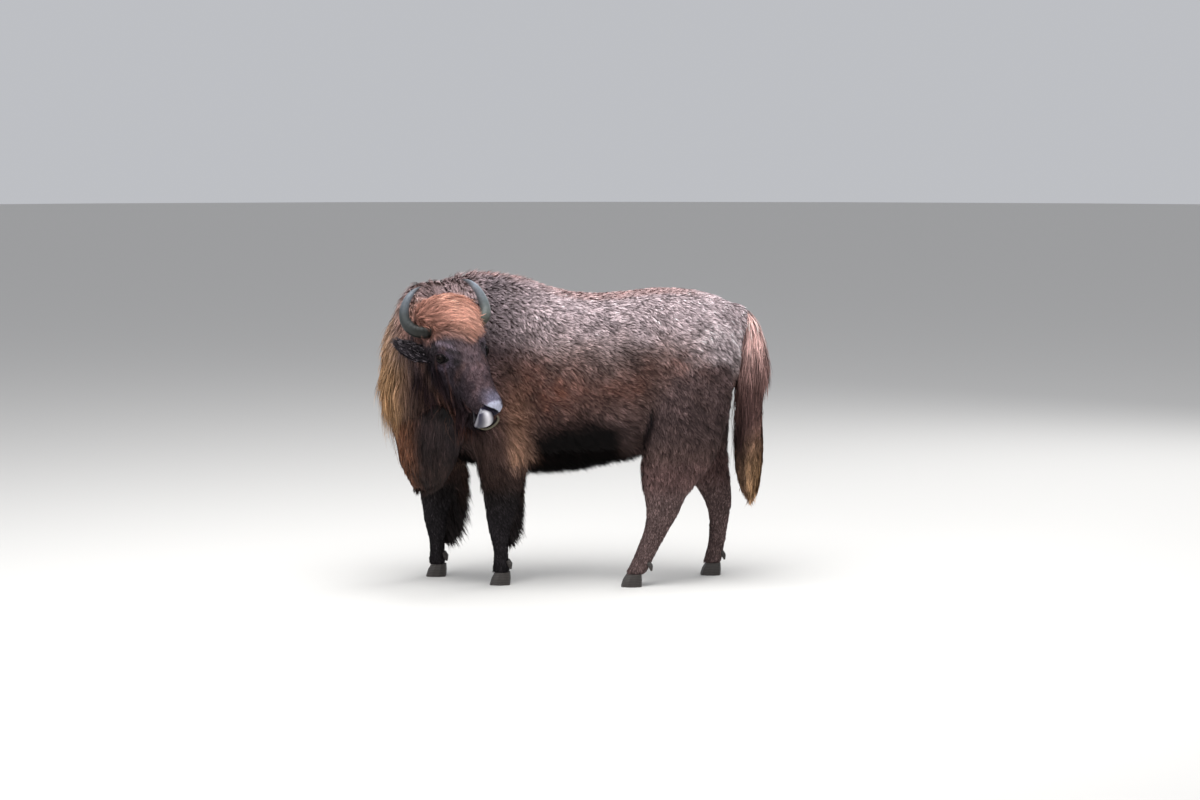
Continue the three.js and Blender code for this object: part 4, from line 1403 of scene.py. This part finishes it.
# %% Short coat
PIECES = {  # the region whose tufts each piece holds
    "coat_face": "face", "coat_chin": "chin", "coat_ears": "ear", "coat_jowls": "jowl", "coat_neck": "neck",
    "coat_hump": "hump", "coat_barrel": "barrel", "coat_belly": "belly", "coat_rump": "rump",
    "coat_thighs": "thigh", "coat_stifles": "stifle", "coat_gaskins": "gaskin",
    "coat_hind_shanks": "hind_shank", "coat_elbows": "elbow", "coat_forearms": "forearm",
    "coat_fore_shanks": "fore_shank", "coat_crown": "crown",
}
DULL = ("face", "chin", "ear", "jowl", "belly", "forearm", "fore_shank")
LONG = ("crown", "neck", "jowl", "stifle", "gaskin", "elbow", "belly")
THREE_BLADES = ("face", "ear", "chin", "fore_shank", "hind_shank")
main_region = roots.mix.argmax(1)
for seed, (name, region) in enumerate(PIECES.items(), 100):
    mine = main_region == REGIONS.index(region)
    droop = 0.55 * ramp(length[mine], 45, 90) + (1.0 if region == "belly" else 0)
    grow(name, roots.pick(mine), seed, length=length[mine] / 1000, width=width[mine] / 1000,
         rise=rise[mine], curl=curl[mine], tone=root_tone[mine], tip=tip_tone[mine], droop=droop,
         material=DARK_COAT if region in DULL else COAT,
         joints=4 if region in LONG else 2, blades=3 if region in THREE_BLADES else 4)

# %% [markdown]
# ## Mane and beard
# The long hair of the throat and breast hangs in heavy locks. The CAD solid of the mane is their envelope:
# locks start just inside its surface and fall to its lower edge, so the beard keeps its true outline from
# every side.

# %% Roots on an envelope
skin_tree = BVHTree.FromPolygons(points.tolist(), tris.tolist())


def nearest_uv(places):
    """Where on the bake sheet the nearest skin lies."""
    hits = [skin_tree.find_nearest(p)[2] for p in places.tolist()]
    return tri_uv[hits].mean(1)


def on_solid(solid_points, solid_tris, face, rng):
    """Random places in the chosen triangles of a solid, and the way out of it there."""
    corners, shares = solid_tris[face], in_triangles(rng, len(face))
    place = (solid_points[corners] * shares).sum(1)
    return place, unit((normals_of(solid_points, solid_tris)[corners] * shares).sum(1))


CLEAR_OF_FLESH = 0.006


def sow_envelope(solid_points, solid_tris, per_m2, seed):
    """Places on the outer faces of a CAD solid; those that touch the flesh are left out."""
    rng = np.random.default_rng(seed)
    area = areas(solid_points, solid_tris)
    count = np.floor(area * per_m2 + rng.random(len(area))).astype(int)
    place, outward = on_solid(solid_points, solid_tris, np.repeat(np.arange(len(area)), count), rng)
    clear = np.array([flesh_tree.find_nearest(p)[3] for p in place.tolist()]) > CLEAR_OF_FLESH
    return place[clear], outward[clear]


def envelope_drop(solid_points, solid_tris, places):
    """How far each place is above the lower edge of its envelope, through up to three of its walls."""
    tree = BVHTree.FromPolygons(solid_points.tolist(), solid_tris.tolist())
    drops = []
    for p in places.tolist():
        start, total = Vector(p), 0.0
        for _ in range(3):
            hit = tree.ray_cast(start + Vector((0, 0, -0.002)), Vector((0, 0, -1)), 1.0)
            if hit[0] is None:
                break
            total = p[2] - hit[0][2]
            start = hit[0]
        drops.append(total)
    return np.array(drops)


def lock_roots(place, outward, region, inward, way=(0, 0, -1.0)):
    """Roots a little inside an envelope, whose locks run down it, or along another way."""
    place = place - outward * inward
    way = np.broadcast_to(np.array(way, float), place.shape)
    flat = way - outward * (way * outward).sum(1, keepdims=True)
    mix = np.zeros((len(place), len(REGIONS)))
    mix[:, REGIONS.index(region)] = 1
    return Roots(place, outward, unit(flat + way * 0.25), mix, nearest_uv(place))


def even(colour, places):
    """One colour for every place, to lay others over."""
    return np.zeros((len(places), 3)) + colour


print("skin tree of", len(tris), "triangles")

# %% Mane locks
mane_solid = cad_arrays("mane")


def mane_tone(places):
    x, _, z = places.T
    tone = mixed(even(paint(36, 27, 27), places), paint(36, 26, 24), ramp(z, 0.80, 0.60))
    tone = mixed(tone, paint(27, 21, 23), 0.7 * ramp(x, -0.68, -0.58) * ramp(z, 0.62, 0.8))
    tone = mixed(tone, paint(108, 70, 50), 0.8 * ramp(x, -0.76, -0.88))
    tone = mixed(tone, paint(156, 114, 76), 0.85 * ramp(x, -0.80, -0.92) * ramp(z, 0.84, 0.98))
    return np.clip(tone * (1 + 0.28 * drift(places * (1, 1, 0.3), 0.06, 21))[:, None], 0.002, 1)


place, outward = sow_envelope(*mane_solid, 9400, 31)
sideways = outward[:, 2] < 0.35
place, outward = place[sideways], outward[sideways]
spread = np.random.default_rng(32).uniform(0.75, 1.0, len(place))
drop = envelope_drop(*mane_solid, place)
long = np.clip(np.minimum(drop * spread + 0.035, 0.10 + 0.17 * spread), 0.06, 0.30)
mane_roots = lock_roots(place, outward, "neck", 0.016 + 0.034 * ramp(place[:, 2], 0.86, 1.0)[:, None])
# The tips of the locks are painted lighter than their roots, as painted sheen.
mane = grow("mane_locks", mane_roots, 33, length=long, width=0.0046, rise=0.12, curl=0.14,
            tone=mane_tone(place), tip=mane_tone(place) * 1.5, droop=0.55, blades=4, joints=5,
            clump=0.008, splay=0.004, material=LONG_HAIR, waves=0.8)
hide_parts("mane")

# %% [markdown]
# ## Tail
# The tail hangs from a short dock: fluffy near the root, then a switch of straight, heavy hair. Its locks
# are sown on their own envelope as well. Near the root they are short and stand out, further down they are
# long and hang. Before they grow, the roots at the end are spread apart and those on the inner side below
# the dock are moved towards the rump.

# %% Tail locks
tail_solid = cad_arrays("tail_hair")
TAIL_LOW, TAIL_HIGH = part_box("tail_hair")[0][2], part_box("tail_hair")[1][2]


def tail_tone(places):
    x, _, z = places.T
    tone = mixed(even(paint(98, 72, 68), places), paint(196, 160, 154), ramp(z, 1.10, 1.38))
    tone = mixed(tone, paint(146, 114, 82), 0.85 * ramp(z, 0.88, 0.56))
    tone = mixed(tone, paint(52, 38, 38), 0.7 * (ramp(x, 0.93, 0.86) * ramp(z, 1.2, 1.0)))
    return np.clip(tone * (1 + 0.25 * drift(places * (1, 1, 0.2), 0.05, 22))[:, None], 0.003, 1)


def tail_middle():
    """Rows of height and x along the middle of the tail."""
    x, _, z = tail_solid[0].T
    levels = np.linspace(TAIL_LOW, TAIL_HIGH, 12)
    reach = np.exp(-(((z - levels[:, None]) / 0.05) ** 2))
    return np.stack([levels, (reach * x).sum(1) / reach.sum(1)], 1)


place, outward = sow_envelope(*tail_solid, 7600, 41)
drop = envelope_drop(*tail_solid, place)
spread = np.random.default_rng(42).uniform(0.6, 1.0, len(place))
height = place[:, 2]
middle = np.interp(height, *tail_middle().T)
place[:, 0] += (place[:, 0] - middle) * 0.4 * ramp(height, 0.95, 0.60)
below_dock = ramp(height, 0.98, 1.08) * ramp(height, 1.36, 1.24)
place[:, 0] -= 0.026 * below_dock * ramp(place[:, 0], middle + 0.03, middle - 0.03)
fluffy = ramp(height, 1.04, 1.22)
tail_roots = lock_roots(place, outward, "rump", (0.022 - 0.010 * fluffy)[:, None])
long = np.clip(np.minimum(drop * spread + 0.03, 0.12 + 0.26 * spread), 0.06, 0.40)
long = long * (1 - fluffy) + (0.04 + 0.12 * spread) * fluffy
# The tips of the locks are painted lighter than their roots, as painted sheen.
tail = grow("tail_locks", tail_roots, 43, length=long, width=0.0042, rise=0.16 + 0.24 * fluffy, curl=0.13,
            tone=tail_tone(place), tip=tail_tone(place) * 1.45, droop=0.8, blades=5,
            joints=6, clump=0.008, splay=0.008, material=LONG_HAIR, waves=0.7)
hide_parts("tail_hair")

# %% [markdown]
# ## Fringes
# A curtain of dark hair hangs behind each forearm down to the shank. The CAD solid of the lower leg
# includes it, and the skin was drawn in to the flesh in front of it, so places on the back of the solid are
# moved forward to the flesh, and each lock is as long as the way it has to reach.

# %% Fringes behind the forearms
FRINGE_ROOTS = 4200  # on each foreleg, before those that aren't behind it are left out


def fringe(leg, seed):
    """Where the locks of one foreleg start, which way they face and how far they reach."""
    foot = foot_centre(leg)
    rng = np.random.default_rng(seed)
    solid = cad_arrays(f"{leg}_lower")
    area = areas(*solid)
    face = rng.choice(len(area), FRINGE_ROOTS, p=area / area.sum())
    place, outward = on_solid(*solid, face, rng)
    edge = foot[0] + np.interp(place[:, 2], *BACK_OF_SHANK.T)
    behind = (place[:, 0] > edge + 0.006) & (place[:, 2] > 0.17)
    place, outward, edge = place[behind], outward[behind], edge[behind] - 0.008
    reach = place[:, 0] - edge
    start = np.stack([edge, foot[1] + (place[:, 1] - foot[1]) * 0.9, place[:, 2] + reach * 0.9], 1)
    return start, unit(outward * (0.4, 1, 0.4) + np.array((0.3, 0, 0))), reach


both = [fringe(leg, seed) for seed, leg in ((51, "fore_left"), (52, "fore_right"))]
place, outward, reach = (np.concatenate(parts) for parts in zip(*both))
fringe_roots = lock_roots(place, outward, "forearm", 0.0, way=(0.72, 0, -0.70))
long = np.clip(reach * 1.75 + 0.035, 0.05, 0.19)
fringe_tone = mixed(even(paint(31, 26, 26), place), paint(62, 46, 40), ramp(place[:, 2], 0.42, 0.60))
# The tips of the locks are painted lighter than their roots, as painted sheen.
grow("forearm_fringes", fringe_roots, 53, length=long, width=0.005, rise=0.12, curl=0.14, tone=fringe_tone,
     tip=fringe_tone * 1.3, droop=0.5, blades=4, joints=5, clump=0.006, splay=0.003,
     material=LONG_HAIR)

# %% [markdown]
# ## Horns
# A wisent's horn is a hollow sheath, ringed and rough at the root, smooth and dark at the tip, that curves
# out, up and in. It is lofted again on the CAD's own line, with more sides and its relief, because the CAD
# solid is too coarse for rings. Its colour is graded along its length by an attribute of the points, with
# painted shade on the right horn and a little painted light on the left, strongest at the root.

# %% Sweep a ring along a line
def sweep(name, line, wide, thin, side_ref, sides, rows, relief):
    """A closed tube through points; `wide` and `thin` are half its width and thickness along the way."""
    path = curve_through(line, rows)
    wide, thin = (curve_through(np.reshape(size, (-1, 1)), rows) for size in (wide, thin))
    along = unit(np.gradient(path, axis=0))
    side = unit(side_ref - along * (along @ side_ref)[:, None])
    up = np.cross(along, side)
    angle = np.linspace(0, 2 * np.pi, sides, endpoint=False)
    t = np.linspace(0, 1, rows)
    bump = relief(t[:, None], angle[None])
    ring = (side[:, None] * (wide * np.cos(angle) * bump)[..., None]
            + up[:, None] * (thin * np.sin(angle) * bump)[..., None])
    pts = np.vstack([(path[:, None] + ring).reshape(-1, 3), path[:1], path[-1:]])
    thing = make_mesh(name, pts, tube_faces(rows, sides)[:, ::-1])
    first, last, top = rows * sides, rows * sides + 1, (rows - 1) * sides
    caps = [(first, (i + 1) % sides, i) for i in range(sides)]
    caps += [(last, top + i, top + (i + 1) % sides) for i in range(sides)]
    work = bmesh.new()
    work.from_mesh(thing.data)
    work.verts.ensure_lookup_table()
    for fan in caps:
        work.faces.new([work.verts[i] for i in fan]).smooth = True
    bmesh.ops.recalc_face_normals(work, faces=work.faces)
    work.to_mesh(thing.data)
    work.free()
    layer = thing.data.attributes.new("Along", "FLOAT", "POINT")
    layer.data.foreach_set("value", np.append(np.repeat(t, sides), [0, 1]).astype(np.float32))
    return thing


def attach(thing, material, node):
    """Gives a piece its finish and puts it in the place of a CAD node."""
    thing.data.materials.clear()
    thing.data.materials.append(material)
    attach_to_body(thing, "root")
    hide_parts(node)
    print(thing.name, len(thing.data.polygons), "faces")


HORN_LINE = [  # n l u in millimetres from the root of the left horn to its tip
    (12, 88, -14), (4, 158, -14), (-20, 203, -11), (-64, 224, 2), (-110, 219, 28), (-148, 194, 62),
    (-172, 156, 90), (-182, 116, 108),
]
HORN_RADII = np.array([33, 31.5, 29.5, 27, 23, 18, 11.5, 1.5]) / 1000
HORN_SIDES, HORN_ROWS, HORN_RINGS = 36, 110, 17
steps = np.diff(curve_through(HORN_LINE, HORN_ROWS), axis=0)
print("horn", round(float(np.linalg.norm(steps, axis=1).sum())), "mm along its middle")

# %% Horns
HORN_STOPS = [
    (0.0, paint(52, 49, 38)), (0.22, paint(62, 64, 56)), (0.5, paint(88, 95, 96)),
    (0.78, paint(126, 134, 144)), (0.91, paint(92, 94, 100)), (1.0, paint(30, 29, 32)),
]
HORN_PAINTED_LIGHT_AND_SHADE = {"left": 1.1, "right": 0.1}  # painted light and shade: the left horn a little lighter, the right much darker, most at the root


def horn_relief(t, angle):
    """Growth rings near the base, worn smooth towards the tip, and faint lengthwise flutes."""
    rings = 0.020 * np.sin(2 * np.pi * HORN_RINGS * t**0.9) * np.clip(1 - t / 0.5, 0, 1)
    flutes = 0.006 * np.sin(angle * 9 + 2 * np.sin(6 * t))
    return 1 + rings + flutes


def horn_material(side):
    """Colour by how far along the horn, varied by grain; the painted light or shade of each side is
    strongest at the root.
    """
    material, tree, _ = new_material(f"horn_sheath_{side}", {SPECULAR: 0.35})
    along = add_node(tree, "ShaderNodeAttribute", attribute_name="Along")
    grade = add_node(tree, "ShaderNodeValToRGB")
    stops = grade.color_ramp.elements
    while len(stops) < len(HORN_STOPS):
        stops.new(0.5)
    for stop, (position, colour) in zip(stops, HORN_STOPS):
        stop.position = position
        stop.color = (*np.clip(colour * HORN_PAINTED_LIGHT_AND_SHADE[side] ** (1 - position), 0, 1), 1)
    link(tree, along.outputs["Fac"], grade.inputs["Fac"])
    grain = add_grain(tree, grade.outputs["Color"], 55.0, 0.45, 0.46, 0.25)
    add_bump(tree, grain.outputs["Height"], 0.35, 0.002)
    return material


for side, s in (("left", 1), ("right", -1)):
    line = from_head(*((np.array(HORN_LINE) * (1, s, 1)).T / 1000))
    horn = sweep(f"horn_{side}_sheath", line, HORN_RADII, HORN_RADII, BROW, HORN_SIDES, HORN_ROWS,
                 horn_relief)
    attach(horn, horn_material(side), f"horn_{side}")

# %% [markdown]
# ## Tongue
# The tongue is a broad, wet muscle, slate blue at its edges, curled up over the lip towards a nostril. It
# is swept like the horns, but flat, with a groove down its middle, and painted point by point, so that a
# painted highlight along its back can follow the curl, with painted shade inside the mouth and under the
# pad at its tip.

# %% Tongue
TONGUE_WET = {SPECULAR: 0.3, "Coat Weight": 0.5, "Coat Roughness": 0.12}
TONGUE = painted_material("tongue_wet", 200.0, 0.25, 0.34, TONGUE_WET)
TONGUE_LINE = [  # n l u in millimetres from the mouth to the tip
    (405, -10, -124), (470, -20, -126), (518, -32, -124), (541, -38, -112), (551, -42, -88),
    (551, -45, -66), (546, -49, -46), (536, -53, -30), (508, -56, -22),
]
TONGUE_WIDE = np.array([24, 31, 39, 45, 49, 48, 44, 36, 8]) / 1000
TONGUE_THICK = np.array([10, 12, 14, 18, 22, 23, 20, 13, 3]) / 1000
TONGUE_ROWS, TONGUE_SIDES = 64, 32


def tongue_relief(t, angle):
    """A shallow groove down the middle of the upper side."""
    return 1 - 0.06 * np.exp(-((np.sin(angle) - 1) / 0.03) ** 2) + 0 * t


def tongue_colours():
    """A painted highlight along the middle and a thin one along one edge, slate blue elsewhere, and painted
    shade inside the mouth and at the tip under the pad.
    """
    t = np.linspace(0, 1, TONGUE_ROWS)[:, None]
    across = np.cos(np.linspace(0, 2 * np.pi, TONGUE_SIDES, endpoint=False))[None]
    # The pale middle and edge are a painted highlight; it fades out into painted shade at both ends.
    light = (bell(across, 0.26, 0.44) + 0.35 * bell(across, -0.96, 0.04))
    light = (light * ramp(t, 0.34, 0.50) * ramp(t, 0.98, 0.84)).ravel()
    colour = mixed(even(paint(26, 24, 48), light), paint(214, 211, 216), light)
    inside = np.repeat(ramp(t, 0.46, 0.34), TONGUE_SIDES)
    colour = mixed(colour, paint(22, 16, 22), inside)
    return np.vstack([colour, colour[:1], colour[-1:]])


line = from_head(*(np.array(TONGUE_LINE).T / 1000))
tongue = sweep("tongue_curled", line, TONGUE_WIDE, TONGUE_THICK, LEFT, TONGUE_SIDES, TONGUE_ROWS,
               tongue_relief)
paint_points(tongue, tongue_colours())
attach(tongue, TONGUE, "tongue")

# %% [markdown]
# ## Eyes
# A wisent's eye is a dark brown ball with a level pupil under a clear bulge. It is a grid of points round
# the way the eye looks, so that iris and pupil can be painted by angle, and a thin clear coat makes it wet.

# %% Eyes
EYE_GRID = 72
BULGE, BULGE_EDGE = 0.045, 0.62  # height as a share of the radius, and reach in radians


def eyeball(side):
    """A ball with a clear bulge in front, painted with iris and a level pupil."""
    out, front, up = eye_axes(side)
    polar, turn = np.meshgrid(np.linspace(0, np.pi, EYE_GRID),
                              np.linspace(0, 2 * np.pi, EYE_GRID, endpoint=False), indexing="ij")
    a, b, c = np.sin(polar) * np.cos(turn), np.sin(polar) * np.sin(turn), np.cos(polar)
    radius = EYE_RADIUS * 0.985 * (1 + BULGE * np.exp(-((polar / BULGE_EDGE) ** 4)))
    ways = ((a, front), (b, up), (c, out))
    pts = (eyes[side] + sum((radius * part)[..., None] * way for part, way in ways)).reshape(-1, 3)
    ball = make_mesh(f"eye_{side}_ball", pts, turned_out(pts, tube_faces(EYE_GRID, EYE_GRID)))
    fibres = 1 + 0.35 * np.sin(turn.ravel() * 31 + 3 * np.sin(turn.ravel() * 7))[:, None]
    pupil = ramp(np.sqrt((a / 0.42) ** 2 + (b / 0.17) ** 2), 1.12, 0.92)
    colour = mixed(even(paint(11, 9, 10), pts), paint(18, 14, 12) * fibres, ramp(polar, 0.80, 0.70))
    paint_points(ball, mixed(colour, paint(5, 4, 5), pupil))
    return ball


EYE_WET = {SPECULAR: 0.02, "Coat Weight": 0.08, "Coat Roughness": 0.02}
EYE = painted_material("eye_wet", 300.0, 0.2, 0.08, EYE_WET, shift=0.04)
for side in eyes:
    attach(eyeball(side), EYE, f"eye_{side}")

# %% [markdown]
# ## Hooves
# The hooves and dewclaws are blunt horn that wears round at its edges. Their CAD solids already have the
# right shape, so they are kept as they are, with a small bevel for the wear and a finish of growth rings.

# %% Hooves
EDGE_WEAR = 0.0035


def hoof_material():
    """Dark horn with growth rings that run level round the claw."""
    material, tree, _ = new_material("hoof_horn", {})
    where = add_node(tree, "ShaderNodeTexCoord")
    rings = add_node(tree, "ShaderNodeTexWave", Scale=38.0, Distortion=2.5, Detail=2.0, bands_direction="Z")
    link(tree, where.outputs["Object"], rings.inputs["Vector"])
    tint = add_node(tree, "ShaderNodeMix", data_type="RGBA")
    factor, dark, light = (tint.inputs[i] for i in (0, 6, 7))  # a Mix node's sockets for colours
    dark.default_value, light.default_value = (*paint(34, 30, 29), 1), (*paint(62, 56, 52), 1)
    link(tree, rings.outputs["Fac"], factor)
    add_grain(tree, tint.outputs[2], 90.0, 0.4, 0.5, 0.2)
    add_bump(tree, rings.outputs["Fac"], 0.3, 0.001)
    return material


HOOF = hoof_material()
for name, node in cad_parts.items():
    if "hoof" in name or "dewclaw" in name:
        edge = node.modifiers.new("worn_edges", "BEVEL")
        edge.width, edge.segments, edge.limit_method = EDGE_WEAR, 3, "ANGLE"
        for material_slot in node.material_slots:
            material_slot.material = HOOF
print("hooves and dewclaws finished")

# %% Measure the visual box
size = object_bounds()
print("visual box", [tuple(round(v, 3) for v in corner) for corner in size])
